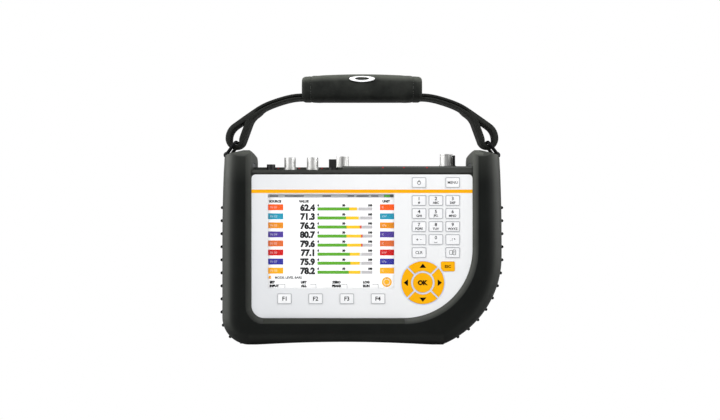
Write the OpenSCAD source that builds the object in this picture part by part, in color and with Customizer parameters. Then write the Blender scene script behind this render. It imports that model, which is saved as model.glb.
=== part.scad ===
// Hand-held data-logging test instrument in a rubber boot, with a carry strap.
// X runs to the right, Y from the display to the back, Z up; it stands on its two feet at Z = 0.

/* [Boot] */
// Width over the sides of the boot, without the grip ribs
boot_width = 257; // [254:0.5:261]
// Depth of the boot from its front crest to its back
boot_depth = 73; // [71:0.5:77]
// Height of the front tops of the shoulders
shoulder_top = 179; // [178.5:0.1:181]
// Width of the rubber face beside the overlay
side_band = 28; // [27:0.1:29]
// Height of the rubber face under the overlay
bottom_band = 25.3; // [24.5:0.1:27]
// Rubber thickness beside the housing
boot_wall = 6.5; // [6:0.1:7]
// Rubber thickness under the housing, above the arch
boot_floor = 5; // [4:0.1:6]
// Radius of the lower left corner
left_corner = 25.5; // [24:0.1:27]
// Radius of the large lower right corner
right_corner = 87; // [84:0.5:90]
// Height of the centre of the large corner
right_corner_height = 80.5; // [79:0.5:82]
// Depth of the flat on the left foot
foot_flat = 0.4; // [0.3:0.05:0.8]
// Distance from the left corner's centre to the start of the arch
left_foot = 6; // [5:0.5:9]
// Distance from the large corner's centre to the end of the arch
right_foot = 23; // [18:0.5:26]
// Radius of the arched underside between the feet
arch_radius = 1000; // [850:10:1300]
// Radius on which the uprights lean in towards their tops
lean_radius = 1520; // [1300:10:2200]
// Height where the lean begins
lean_start = 95; // [90:1:110]
// Rounding of the outer front edge
front_round = 16; // [13:0.5:16.5]
// Rounding of the outer back edge
back_round = 12; // [9:0.5:14]
// Width of the sloped edge round the overlay
bevel_width = 5; // [4:0.1:6]
// Depth of the sloped edge round the overlay
bevel_depth = 3; // [2.5:0.1:3.2]
// Width of the rubber lip on the back
back_band = 34; // [32:0.5:36]
// Slope of the shoulder tops towards the back, in degrees
shoulder_slope = 4.4; // [3:0.1:5]
// How much lower a shoulder is at its outer edge
shoulder_fall = 6.3; // [4:0.1:6.6]
// Number of grip ribs on each side
rib_count = 12; // [8:1:12]
// Height of the top pair of ribs
rib_top = 125.65; // [124:0.05:127]
// Distance between ribs along the boot
rib_pitch = 12.05; // [11.8:0.05:12.4]
// Radius of a rib
rib_radius = 1.4; // [1.2:0.1:1.6]
// How far a rib stands proud of the boot
rib_proud = 2.3; // [1.8:0.1:2.5]
// Length of a rib from front to back
rib_length = 38; // [34:1:40]

/* [Housing] */
// Wall thickness of the two housing shells
housing_wall = 3; // [2.6:0.1:3.2]
// Height of the flat top of the housing
housing_top = 157.5; // [157.2:0.1:158.5]
// Depth from the boot's front crest to the face of the overlay
overlay_recess = 3.5; // [3.3:0.1:4]
// Height of the raised pad that carries the overlay
pad_height = 1.8; // [1.6:0.1:2.2]
// Thickness of the boot's back lip
back_lip = 5.3; // [5:0.1:6]
// Depth of the front shell, from its flange to the split
front_shell = 22.5; // [21.5:0.1:23.5]
// Width of the housing seal
seal_width = 1.4; // [1.2:0.1:1.6]
// Depth of the housing seal across the split
seal_depth = 2; // [1.8:0.1:2.4]
// Radius of a housing screw's shank
screw_radius = 1.5; // [1.3:0.1:1.7]
// Radius of a screw boss
boss_radius = 4; // [3.8:0.1:4.4]

/* [Overlay and display] */
// Height of the top edge of the overlay
overlay_top = 155.8; // [155:0.1:156.2]
// Thickness of the overlay
overlay_thick = 0.7; // [0.5:0.1:0.9]
// Radius of the overlay's lower left corner
overlay_left = 11.5; // [10:0.5:13]
// Radius of the overlay's lower right corner
overlay_right = 62.5; // [58:0.5:66]
// Radius of the overlay's top corners
overlay_corner = 3.6; // [3:0.1:4.5]
// Width of the visible screen
screen_width = 114.9; // [112:0.1:116]
// Height of the visible screen
screen_height = 86.1; // [84:0.1:87]
// Distance from the overlay's left edge to the screen
screen_margin = 14.9; // [14:0.1:17]
// Height of the lower edge of the screen
screen_bottom = 52.2; // [51.8:0.1:53]
// Thickness of the display window
window_thick = 1.2; // [1:0.1:1.4]
// Thickness of the display gasket
gasket_thick = 0.8; // [0.6:0.1:1]
// Thickness of the display module
lcd_thick = 6.8; // [6:0.1:7.4]

/* [Keys] */
// Width of a plain key
key_width = 13.1; // [12.5:0.1:13.2]
// Height of a plain key
key_height = 9.5; // [9:0.1:9.6]
// Corner radius of a plain key
key_corner = 1.1; // [0.8:0.1:1.5]
// Distance between the columns of the keypad
column_pitch = 15.3; // [15.1:0.1:15.6]
// Distance between the rows of the keypad
row_pitch = 11.85; // [11.7:0.05:12]
// Distance from the overlay's right edge to the last column
column_margin = 18.05; // [17:0.05:19]
// Height of the top row of digits
digit_row = 132.2; // [131.5:0.1:133]
// Height of the power and menu keys
menu_row = 148.5; // [148:0.1:149]
// Height of the row of soft keys under the screen
soft_row = 42.9; // [42.4:0.1:43.1]
// Distance between soft keys
soft_pitch = 28.35; // [27:0.05:29]
// Distance from the screen's left edge to the first soft key
soft_margin = 15.1; // [14:0.1:16]
// Height of the centre of the arrow pad
pad_row = 57.4; // [57:0.1:58]
// Distance from the overlay's right edge to the centre of the arrow pad
pad_margin = 45.2; // [44.5:0.1:46]
// Outer radius of the arrow keys
arrow_outer = 19.3; // [18.8:0.1:19.5]
// Inner radius of the arrow keys
arrow_inner = 10.9; // [10.7:0.1:11.5]
// Radius of the round middle key
ok_radius = 8.8; // [8.2:0.1:8.9]
// Gap between arrow keys
arrow_gap = 2; // [1.9:0.1:2.4]
// Width of the escape key
escape_width = 12.4; // [12:0.1:12.6]
// Height of the escape key
escape_height = 8.6; // [8:0.1:8.8]
// How far a key stands proud of the overlay
key_proud = 0.4; // [0.2:0.1:0.6]
// Travel of a key
key_travel = 0.5; // [0.3:0.05:0.6]
// Clearance round a key
key_clear = 0.2; // [0.15:0.05:0.25]
// Width of the rim that holds a key behind the overlay
key_rim = 0.4; // [0.3:0.05:0.45]
// How much narrower a key's plunger is than its face, on each side
plunger_inset = 1.2; // [1:0.1:1.5]

/* [Top panel and sockets] */
// Thickness of the top panel
panel_thick = 6; // [5.6:0.1:6.6]
// Depth of the ledge that carries the front sockets
ledge_drop = 3.4; // [3:0.1:3.8]
// Distance from the left shoulder to the right end of the ledge
ledge_length = 83; // [80:0.5:86]
// Rounding of the panel's front edge
panel_round = 2; // [1.5:0.1:2.4]
// Radius of a sensor socket
sensor_radius = 5.2; // [5:0.1:5.4]
// Radius of a sensor socket's bore
sensor_bore = 4; // [3.8:0.1:4.2]
// Height of a sensor socket above the ledge
sensor_height = 11.5; // [11:0.1:13]
// Distance between sensor sockets
sensor_pitch = 20.7; // [19.5:0.1:21.5]
// Radius of a bus socket
bus_radius = 6; // [5.8:0.1:6.2]
// Radius of a bus socket's bore
bus_bore = 4.6; // [4.4:0.1:4.8]
// Height of the left bus socket above the panel
bus_height = 11.1; // [10:0.1:12]
// Extra height of the right bus socket
bus_extra = 1.6; // [1:0.1:2]
// Depth of a socket's bore
socket_depth = 8; // [7:0.1:9]

/* [Strap] */
// Height of the swivel studs
stud_height = 165.3; // [165:0.1:165.6]
// Radius of a stud
stud_radius = 2.5; // [2.3:0.05:2.6]
// Running clearance of a lug on its stud
stud_clear = 0.05; // [0.03:0.01:0.08]
// Radius of the ring wire
wire_radius = 1.6; // [1.4:0.05:1.7]
// Width of the webbing
strap_width = 25; // [23:0.5:25.5]
// Thickness of one layer of webbing
strap_thick = 2.7; // [2.4:0.1:2.8]
// Gap between the two layers of webbing
layer_gap = 0.3; // [0.2:0.1:0.4]
// Radius of the webbing where it leaves the grip
strap_bend = 70; // [68:0.5:72]
// Angle through which the webbing bends down from the grip
strap_fall = 35.6; // [35:0.1:36.2]
// Straight run of the outer layer
outer_run = 26.35; // [25.5:0.05:27]
// Radius of the outer layer where it turns down
outer_turn = 16.8; // [16.4:0.1:17.2]
// Outer radius of the loop round the ring
loop_radius = 8.5; // [8.3:0.05:8.8]
// Radius of the inner layer's bend
inner_turn = 18; // [16:0.5:20]
// Slope of the inner layer where it leaves the loop
inner_slope = 70; // [68:0.5:72]
// Length of the hand grip
grip_length = 113; // [110:0.5:115]
// Height of the underside of the grip
grip_bottom = 224.5; // [224.2:0.1:224.8]
// Height of the grip in the middle
grip_height = 25.8; // [25:0.1:27]
// Depth of the grip from front to back
grip_depth = 36; // [34:0.5:38]
// How much lower the grip is at its ends
grip_crown = 2.3; // [1.5:0.1:3]
// Width of the sewn hem at each end of the grip
hem_width = 8.5; // [7:0.1:10]
// How far the hem lies below the padding
hem_step = 0.6; // [0.4:0.1:0.9]

/* [Hidden] */
$fn = 96;
// Facets of a full turn on the very large radii
fine = 1800;
// Overshoot of a cutting shape past the surface it cuts
over = 1;
// Clearance between parts that are assembled by hand
fit = 0.2;
// Clearance between a screw or seal and its hole
snug = 0.1;

half_width = boot_width / 2;
half_depth = boot_depth / 2;
left_c = [-half_width + left_corner, left_corner - foot_flat];
right_c = [half_width - right_corner, right_corner_height];
// Where the large corner meets the ground, to a hundredth of a millimetre
corner_foot = round(100 * (right_c.x + sqrt(pow(right_corner, 2) - pow(right_c.y, 2)))) / 100;
arch_half = (right_c.x + right_foot - left_c.x - left_foot) / 2;
arch_c = [left_c.x + left_foot + arch_half, -sqrt(pow(arch_radius, 2) - pow(arch_half, 2))];
arch_top = arch_c.y + arch_radius;
// Height of the straight section between the corners
sole_height = 40;

overlay_half = half_width - side_band;
// Rubber step between the overlay and the inner faces of the shoulders
upright_step = 0.5;
upright_in = overlay_half + upright_step;
y_overlay = -half_depth + overlay_recess;
y_pad = y_overlay + overlay_thick;
y_flange = y_pad + pad_height;
y_plate = y_flange + housing_wall;
y_split = y_flange + front_shell;
y_back = half_depth - back_lip - fit;
y_back_in = y_back - housing_wall;
housing_half = half_width - boot_wall - fit;
housing_bottom = arch_top + boot_floor + fit;

// Shoulder blocks, which carry the strap studs
post_in = upright_in + 3;
post_out = post_in + 11.5;
post_half = 24;
post_cover = 1.5;
post_top = stud_height + stud_radius + post_cover;
notch_floor = post_top + fit + post_cover;
notch_half = 28;
notch_in = post_out - 8;
recess_in = post_out + 2.5;
recess_half = 24.5;
recess_bottom = housing_top + fit + 0.8;
recess_corner = 6;
shoulder_inner = 4;
shoulder_front = 10;
notch_corner = 3;
// Height below which the side and front views keep the whole boot
shoulder_keep = 150;
// Extra length of the sloped top, and of the leaning sweep past the shoulders
shoulder_reach = 2.5;
lean_spare = 5;
// How far the ribs are set back from the middle of the side
rib_back = 2;
// Height of the lower edge of the back opening above the overlay's lower edge
back_step = 5;

screen_left = -overlay_half + screen_margin;
screen_low = [screen_left, screen_bottom];
screen_high = screen_low + [screen_width, screen_height];
screen_corner = 1;
window_lap = 1.6;
lcd_lap = [4.5, 2.8];
gasket_gap = 0.5;
y_lcd = y_pad + window_thick + gasket_thick;

last_column = overlay_half - column_margin;
columns = [last_column - 2 * column_pitch, last_column - column_pitch, last_column];
rows = [for (i = [0:4]) digit_row - i * row_pitch];
pad_c = [overlay_half - pad_margin, pad_row];
// Escape key beside the arrow pad
escape_c = pad_c + [22.8, 14.8];
// Play between a key and what stops it
key_play = 0.05;
least_corner = 0.2;
y_key_front = y_overlay - key_proud;
y_key_rim = y_pad + 0.85;
y_key_tip = y_plate - 0.9;
dome_height = y_plate - y_key_tip - key_travel - key_play;
dome_radius = 2.5;
board_thick = 1.6;
y_keyboard_back = y_plate + board_thick;
// Key order: name, kind, centre
KEYS = concat(
    [for (i = [0:3]) [str("f", i + 1), "plain", [screen_left + soft_margin + i * soft_pitch, soft_row]]],
    [["power", "plain", [columns[0], menu_row]], ["menu", "plain", [columns[2], menu_row]]],
    [for (i = [0:8]) [str(i + 1), "plain", [columns[i % 3], rows[floor(i / 3)]]]],
    [["sign", "plain", [columns[0], rows[3]]], ["0", "plain", [columns[1], rows[3]]],
     ["point", "plain", [columns[2], rows[3]]]],
    [["clear", "plain", [columns[0], rows[4]]], ["note", "plain", [columns[2], rows[4]]]],
    [["escape", "escape", escape_c], ["ok", "round", pad_c]],
    [["right", 0, pad_c], ["up", 90, pad_c], ["left", 180, pad_c], ["down", 270, pad_c]]);

panel_top = housing_top + panel_thick;
panel_half = upright_in - fit;
y_panel_front = y_overlay + 1;
ledge_top = panel_top - ledge_drop;
ledge_end = -panel_half + ledge_length;
y_ledge = -3;
y_front_row = -22;
sensor_x = [-66.1, -66.1 + sensor_pitch];
service_x = -27;
power_x = -83.6;
bus_x = [-18.6, 79.8];
y_bus = [22.6, 8];
charge_x = 85.3;
y_charge = 20.5;
shank_radius = 3.6;
nut_size = 5.6;
nut_height = 2.2;
// Opening in the top of the housing, under the panel
hatch_half = 94;
y_hatch = [-27, 27.6];
connector_drop = 6;
connector_low = housing_top - housing_wall - connector_drop;
flange_height = 2.4;
flange_grow = 0.7;

// Order: two sensor sockets, service jack, power jack, two bus sockets, charging jack
socket_spots = [[sensor_x[0], y_front_row], [sensor_x[1], y_front_row], [service_x, y_front_row],
    [power_x, y_front_row], [bus_x[0], y_bus[0]], [bus_x[1], y_bus[1]], [charge_x, y_charge]];
service_size = 6.7;
service_height = sensor_height - 1.6;
service_collar = 4.9;
charge_size = 7.4;
charge_height = bus_height + 1;
charge_collar = 5;
power_radius = shank_radius + 0.3;
power_height = sensor_height / 2.2;
groove_width = 0.7;
groove_drop = 2.2;

// Screw places on the housing, inside its wall
screw_in = housing_wall + boss_radius + over;
screw_head = 2.4;
screw_high = housing_top - 18;
screw_spots = [[-housing_half + screw_in, screw_high], [-housing_half + screw_in, left_c.y + 40],
    left_c - [2, 2], [-20, housing_bottom + screw_in + 2],
    right_c + (right_corner - boot_wall - screw_in - over) * [cos(-45), sin(-45)],
    [housing_half - screw_in, right_c.y + 8], [housing_half - screw_in, screw_high]];
// Screw places on the main board
board_low = [-100, 31];
board_high = [44, 140];
board_in = 4.5;
board_spots = [board_low + [board_in, board_in], [board_high.x - board_in, board_low.y + board_in],
    [board_low.x + board_in, board_high.y - board_in], board_high - [board_in, board_in]];
board_gap = 10.5;
y_board = y_plate + board_gap;

cell_radius = 9.2;
cell_length = 65;
cell_count = 4;
pack_wrap = 0.6;
pack_width = 2 * cell_count * cell_radius + 2 * pack_wrap;
pack_x = -overlay_half / 3;
pack_low = housing_bottom + housing_wall + 22;
rib_thick = 2;

stud_out = half_width - 1.4;
stud_head = 1.5;
stud_head_radius = 4.5;
stud_bar = [2.4, 33, 3.4];
stud_bar_in = upright_in + 0.3;
lug_in = recess_in + over;
lug_out = stud_out - fit;
hub_radius = 6.2;

strap_total = 2 * strap_thick + layer_gap;
// Height of the webbing above the underside of the grip
strap_lift = 1.9;
strap_top = grip_bottom + strap_lift + strap_total;
// Half height of the flat front and back of the grip
grip_side = 2;
// How far beyond the grip the webbing starts to bend
bend_out = 1.2;
// Centre of the strap's main bend, on the left; the right side mirrors it
bend_c = [-grip_length / 2 - bend_out, strap_top - strap_bend];
fall_way = [-cos(strap_fall), -sin(strap_fall)];
fall_side = [sin(strap_fall), -cos(strap_fall)];
run_start = bend_c - strap_bend * fall_side;
run_end = run_start + outer_run * fall_way;
turn_c = run_end + outer_turn * fall_side;
loop_c = turn_c - [outer_turn - loop_radius, 0];
// Underside of the inner layer, from the loop back to the main bend
under_radius = strap_bend - strap_total;
loop_end = loop_c + loop_radius * [sin(inner_slope), -cos(inner_slope)];
inner_way = [cos(inner_slope), sin(inner_slope)];
inner_reach = bend_c - under_radius * fall_side - loop_end
    - inner_turn * [sin(inner_slope) - sin(strap_fall), cos(strap_fall) - cos(inner_slope)];
inner_cross = inner_way.x * -fall_way.y - inner_way.y * -fall_way.x;
inner_run = (inner_reach.x * -fall_way.y - inner_reach.y * -fall_way.x) / inner_cross;
inner_turn_start = loop_end + inner_run * inner_way;
inner_turn_c = inner_turn_start + inner_turn * [sin(inner_slope), -cos(inner_slope)];

// Steps on each bend of the webbing
arc_steps = 24;

// Ring: upper bar in the loop, lower bar in the lug
ring_gap = 0.4;
// Direction in which the upper bar hangs in the loop
ring_hang = [0.37, -0.93];
ring_top = loop_c + (loop_radius - strap_thick - wire_radius - ring_gap) * ring_hang;
ring_inset = 2.7;
ring_lift = 9.3;
ring_low = [ring_inset - half_width, stud_height + ring_lift];
ring_rise = norm(ring_top - ring_low);
ring_tilt = atan2(ring_top.y - ring_low.y, ring_top.x - ring_low.x);
ring_half = strap_width / 2 + wire_radius + ring_gap;
ring_bend = 3.5;
eye_radius = 3.1;
eye_half = 9;

// Drawing in X and Z, made solid from y0 to y1
module slab(y0, y1) {
    translate([0, y1, 0]) rotate([90, 0, 0]) linear_extrude(y1 - y0) children();
}

// Drawing in Y and Z, made solid from x0 to x1
module along_x(x0, x1) {
    translate([x0, 0, 0]) rotate([90, 0, 90]) linear_extrude(x1 - x0) children();
}

module rod_x(start, r, length) {
    translate(start) rotate([0, 90, 0]) cylinder(r = r, h = length);
}

module rod_y(start, r, length) {
    translate(start) rotate([-90, 0, 0]) cylinder(r = r, h = length);
}

// Profile (radius, front) turned about an axis along Y at a centre in X and Z
module turned(centre, start, sweep) {
    translate([centre.x, 0, centre.y]) rotate([90, 0, 0]) rotate([0, 0, start])
        rotate_extrude(angle = sweep) children();
}

module both_sides() {
    children();
    mirror([1, 0, 0]) children();
}

// Waste outside a round corner; inward says on which side of the corner the part lies
module corner_waste(corner, inward, r) {
    flip = [inward.x < 0 ? 1 : 0, inward.y < 0 ? 1 : 0];
    if (r > 0) translate(corner) mirror([flip.x, 0]) mirror([0, flip.y]) difference() {
        translate([-over, -over]) square(r + over);
        translate([r, r]) circle(r);
    }
}

// Rectangle with a radius for each corner: lower left, lower right, upper right, upper left
module rounded_box(low, high, radii) {
    difference() {
        translate(low) square(high - low);
        corner_waste(low, [1, 1], radii[0]);
        corner_waste([high.x, low.y], [-1, 1], radii[1]);
        corner_waste(high, [-1, -1], radii[2]);
        corner_waste([low.x, high.y], [1, -1], radii[3]);
    }
}

// Section of the boot from its outer surface inwards, front edge up
module boot_section(reach, band) {
    rounded_box([reach - band, -half_depth], [reach, half_depth], [0, back_round, front_round, 0]);
}

// One upright, drawn on the right: straight, then leaning in on a large radius
module boot_upright(reach, bottom) {
    translate([half_width - reach, 0, bottom]) linear_extrude(lean_start - bottom)
        mirror([0, 1]) boot_section(reach, reach);
    lean = asin((shoulder_top + lean_spare - lean_start) / lean_radius);
    turned([half_width - lean_radius, lean_start], 0, lean, $fn = fine)
        boot_section(lean_radius, side_band + front_round);
}

// The boot's outer form without hollows: uprights, corners, sole and middle
module boot_form() {
    boot_upright(right_corner, right_c.y);
    mirror([1, 0, 0]) boot_upright(left_corner, left_c.y);
    turned(left_c, 180, 90) boot_section(left_corner, left_corner);
    intersection() {
        turned(right_c, 270, 90) boot_section(right_corner, right_corner);
        translate([corner_foot, -boot_depth, 0]) cube([right_corner, 2 * boot_depth, right_corner]);
    }
    along_x(left_c.x, corner_foot + fit) rounded_box([-half_depth, -foot_flat], [half_depth, sole_height],
        [front_round, back_round, 0, 0]);
    translate([left_c.x, -half_depth, left_c.y])
        cube([corner_foot + over - left_c.x, boot_depth, shoulder_top - left_c.y]);
}

// Front view of what is kept of the boot: feet cut flat, shoulders rounded
module boot_front_view() {
    translate([-boot_width, 0]) square([2 * boot_width, shoulder_keep]);
    both_sides() intersection() {
        rounded_box([upright_in, 0], [half_width, shoulder_top], [0, 0, shoulder_inner, shoulder_inner]);
        polygon([[upright_in, 0], [half_width, 0], [half_width, shoulder_top - shoulder_fall],
            [upright_in + shoulder_inner, shoulder_top], [upright_in, shoulder_top]]);
    }
}

// Side view of what is kept: shoulder tops slope back and are rounded front and back
module boot_side_view() {
    translate([-half_depth - over, 0]) square([boot_depth + 2 * over, shoulder_keep]);
    translate([-half_depth, shoulder_top]) rotate(-shoulder_slope)
        rounded_box([0, -boot_depth], [boot_depth + shoulder_reach, 0],
            [0, 0, shoulder_front, shoulder_front]);
}

// Outline of the housing, drawn in by inset
module housing_outline(inset) {
    low = [-housing_half + inset, housing_bottom + inset];
    high = [housing_half - inset, housing_top - inset];
    difference() {
        translate(low) square(high - low);
        difference() {
            translate([right_c.x, housing_bottom - boot_wall])
                square([right_corner, right_c.y - housing_bottom + boot_wall]);
            translate(right_c) circle(right_corner - boot_wall - fit - inset);
        }
        difference() {
            translate([left_c.x - left_corner, 0]) square([left_corner, left_c.y]);
            translate(left_c) circle(left_corner - boot_wall - fit - inset);
        }
    }
}

// Outline of the overlay, grown outwards; extra lengthens it past its top edge
module overlay_outline(grow, extra = 0) {
    rounded_box([-overlay_half - grow, bottom_band - grow], [overlay_half + grow, overlay_top + grow + extra],
        [overlay_left + grow, overlay_right + grow, overlay_corner, overlay_corner]);
}

module screen_outline(grow) {
    rounded_box(screen_low - [grow, grow], screen_high + [grow, grow],
        [for (i = [0:3]) screen_corner]);
}

module lcd_outline(grow) {
    translate(screen_low - lcd_lap - [grow, grow])
        square([screen_width + 2 * (lcd_lap.x + grow), screen_height + 2 * (lcd_lap.y + grow)]);
}

// Face of a key, grown outwards: kind is a shape, or the direction of an arrow key
module key_face(key, grow) {
    kind = key[1];
    size = kind == "plain" ? [key_width, key_height] : [escape_width, escape_height];
    half = size / 2 + [grow, grow];
    corners = [for (i = [0:3]) max(key_corner + grow, least_corner)];
    translate(key[2]) {
        if (kind == "plain")
            rounded_box(-half, half, corners);
        else if (kind == "escape")
            difference() {
                rounded_box(-half, half, corners);
                translate(pad_c - key[2]) circle(arrow_outer + arrow_gap - grow);
            }
        else if (kind == "round")
            circle(ok_radius + grow);
        else
            rotate(kind) arrow_face(grow);
    }
}

// Quarter of the arrow ring that points along X
module arrow_face(grow) {
    start = (arrow_gap / 2 - grow) * sqrt(2);
    far = 2 * arrow_outer;
    intersection() {
        difference() {
            circle(arrow_outer + grow);
            circle(arrow_inner - grow);
        }
        polygon([[start, 0], [start + far, far], [start + far, -far]]);
    }
}

// Swept wedge that slopes the edge of the front opening
module bevel_waste() {
    reach = bevel_width * (bevel_depth + over) / bevel_depth;
    low = half_depth - bevel_depth;
    side = overlay_half + fit;
    bottom = bottom_band - fit;
    left = [-side + overlay_left, bottom + overlay_left];
    right = [side - overlay_right, bottom + overlay_right];
    turned(left, 180, 90) bevel_profile(overlay_left, reach, low);
    turned(right, 270, 90) bevel_profile(overlay_right, reach, low);
    translate([right.x, 0, right.y]) linear_extrude(shoulder_top) mirror([0, 1])
        bevel_profile(overlay_right, reach, low);
    translate([left.x, 0, left.y]) linear_extrude(shoulder_top) mirror([1, 0]) mirror([0, 1])
        bevel_profile(overlay_left, reach, low);
    translate([left.x, 0, left.y]) rotate([90, 0, 90]) linear_extrude(right.x - left.x) rotate(-90)
        bevel_profile(overlay_left, reach, low);
}

module bevel_profile(radius, reach, low) {
    polygon([[0, low], [radius, low], [radius + reach, half_depth + over], [0, half_depth + over]]);
}

// Where rib number i stands: distance down the side, then round the corner
function rib_place(i, centre, radius, way) =
    let (down = i * rib_pitch, straight = rib_top - centre.y)
    let (angle = down < straight ? 0 : (down - straight) / radius * 180 / PI)
    let (height = down < straight ? rib_top - down : centre.y)
    let (reach = radius + rib_proud - rib_radius)
    [centre.x + way * reach * cos(angle), height - reach * sin(angle)];

module grip_ribs(centre, radius, way) {
    for (i = [0:rib_count - 1]) {
        place = rib_place(i, centre, radius, way);
        rise = max(place.y - lean_start, 0);
        lean = lean_radius - sqrt(pow(lean_radius, 2) - pow(rise, 2));
        rod_y([place.x - way * lean, -rib_length / 2 + rib_back, place.y], rib_radius, rib_length);
    }
}

// Room for the strap's swing: a notch across each shoulder, a recess for the lug, the stud's hole and slot
module shoulder_waste() {
    bar_room = stud_bar + [0, 2 * fit, 2 * fit];
    along_x(notch_in, half_width + 2 * rib_proud)
        rounded_box([-notch_half, notch_floor], [notch_half, 2 * shoulder_top],
            [notch_corner, notch_corner, 0, 0]);
    along_x(recess_in, half_width + 2 * rib_proud)
        rounded_box([-recess_half, recess_bottom], [recess_half, shoulder_top],
            [recess_corner, recess_corner, 0, 0]);
    rod_x([upright_in - over, 0, stud_height], stud_radius + snug, boot_wall + post_out);
    translate([upright_in - over, -bar_room.y / 2, stud_height - bar_room.z / 2])
        cube([post_in - upright_in + over, bar_room.y, bar_room.z]);
    slot_low = [post_in - fit, -post_half - fit, housing_top];
    translate(slot_low) cube([post_out + fit, post_half + fit, post_top + fit] - slot_low);
}

module rubber_boot() color("#2b2c2d") {
    difference() {
        union() {
            intersection() {
                boot_form();
                slab(-half_depth - over, half_depth + over) boot_front_view();
                along_x(-half_width - over, half_width + over) boot_side_view();
            }
            intersection() {
                union() {
                    grip_ribs(right_c, right_corner, 1);
                    grip_ribs(left_c, left_corner, -1);
                }
                translate([-boot_width, -half_depth, 0]) cube([2 * boot_width, boot_depth, shoulder_top]);
            }
        }
        slab(-half_depth - over, half_depth + over) translate(arch_c) circle(arch_radius, $fn = fine);
        slab(-half_depth - over, y_flange) overlay_outline(fit, shoulder_top);
        bevel_waste();
        slab(y_flange - fit, y_back + fit) housing_outline(-fit);
        slab(0, half_depth + over) rounded_box([-half_width + back_band, bottom_band + back_step],
            [half_width - back_band, shoulder_top], [overlay_left, overlay_right, 0, 0]);
        translate([-upright_in, -half_depth - over, housing_top])
            cube([2 * upright_in, boot_depth + 2 * over, shoulder_top]);
        both_sides() shoulder_waste();
    }
}

module front_housing() color("#3a3c3e") {
    difference() {
        union() {
            difference() {
                slab(y_flange, y_split) housing_outline(0);
                slab(y_plate, y_split + over) housing_outline(housing_wall);
            }
            slab(y_pad, y_flange + over) overlay_outline(0);
            for (spot = screw_spots)
                rod_y([spot.x, y_plate - over, spot.y], boss_radius, y_split - y_plate + over);
            for (spot = board_spots) rod_y([spot.x, y_plate - over, spot.y], boss_radius, board_gap + over);
        }
        slab(y_pad - over, y_pad + window_thick) screen_outline(window_lap + fit);
        slab(y_pad + window_thick, y_plate + over) lcd_outline(fit);
        for (key = KEYS) {
            slab(y_pad - over, y_key_rim + key_travel + fit) key_face(key, key_rim + key_clear);
            slab(y_pad, y_plate + over) key_face(key, key_clear - plunger_inset);
        }
        for (spot = screw_spots) rod_y([spot.x, y_plate, spot.y], screw_radius + snug, front_shell);
        for (spot = board_spots) rod_y([spot.x, y_plate, spot.y], screw_radius + snug, front_shell);
        seal_groove();
        hatch();
    }
}

// Block in the boot's shoulder that carries the strap's stud, drawn on the right
module shoulder_block() color("#3a3c3e") {
    difference() {
        translate([post_in, -post_half, housing_top])
            cube([post_out - post_in, 2 * post_half, post_top - housing_top]);
        rod_x([post_in - over, 0, stud_height], stud_radius + stud_clear, post_out - post_in + 2 * over);
    }
}

module shoulder_block_left() mirror([1, 0, 0]) shoulder_block();
module shoulder_block_right() shoulder_block();

module seal_ring(grow) {
    middle = housing_wall / 2;
    slab(y_split - seal_depth / 2 - grow, y_split + seal_depth / 2 + grow) difference() {
        housing_outline(middle - seal_width / 2 - grow);
        housing_outline(middle + seal_width / 2 + grow);
    }
}

module seal_groove() {
    seal_ring(snug / 2);
}

// Opening through the top wall, under the panel
module hatch() {
    translate([-hatch_half, y_hatch[0], housing_top - housing_wall - over])
        cube([2 * hatch_half, y_hatch[1] - y_hatch[0], housing_wall + 2 * over]);
}

module rear_housing() color("#3a3c3e") {
    difference() {
        union() {
            difference() {
                slab(y_split, y_back) housing_outline(0);
                slab(y_split - over, y_back_in) housing_outline(housing_wall);
            }
            for (spot = screw_spots) rod_y([spot.x, y_split, spot.y], boss_radius, y_back - y_split - over);
            for (side = [-1, 1]) battery_rib(side);
        }
        for (spot = screw_spots) {
            rod_y([spot.x, y_split - over, spot.y], screw_radius + snug, y_back - y_split + 2 * over);
            rod_y([spot.x, y_back - screw_head, spot.y], 2 * screw_radius + snug, screw_head + over);
        }
        seal_groove();
        hatch();
    }
}

module battery_rib(side) {
    middle = pack_x + side * (pack_width / 2 + fit + rib_thick / 2);
    translate([middle - rib_thick / 2, y_back_in - cell_radius, pack_low])
        cube([rib_thick, cell_radius + over, cell_length]);
}

// Row of round cells in a flat wrap, against the back wall
module battery_pack() color("#3f6f9f") {
    middle = y_back_in - cell_radius - pack_wrap;
    for (i = [0:cell_count - 1])
        translate([pack_x + (2 * i + 1 - cell_count) * cell_radius, middle, pack_low])
            cylinder(r = cell_radius + pack_wrap / 2, h = cell_length);
    translate([pack_x - pack_width / 2 + cell_radius, middle - cell_radius - pack_wrap, pack_low])
        cube([pack_width - 2 * cell_radius, 2 * (cell_radius + pack_wrap), cell_length]);
}

module housing_seal() color("#1d1d1f") seal_ring(0);

module keypad_overlay() color("#e9ecef") {
    slab(y_overlay, y_pad) difference() {
        overlay_outline(0);
        screen_outline(0);
        for (key = KEYS) key_face(key, key_clear);
    }
}

module display_window() color("#dfe9f2") {
    slab(y_pad, y_pad + window_thick) screen_outline(window_lap);
}

module display_gasket() color("#202124") {
    slab(y_pad + window_thick, y_pad + window_thick + gasket_thick) difference() {
        lcd_outline(0);
        screen_outline(gasket_gap);
    }
}

module lcd_module() color("#c9ccd0") {
    slab(y_lcd, y_lcd + lcd_thick) lcd_outline(0);
}

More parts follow.
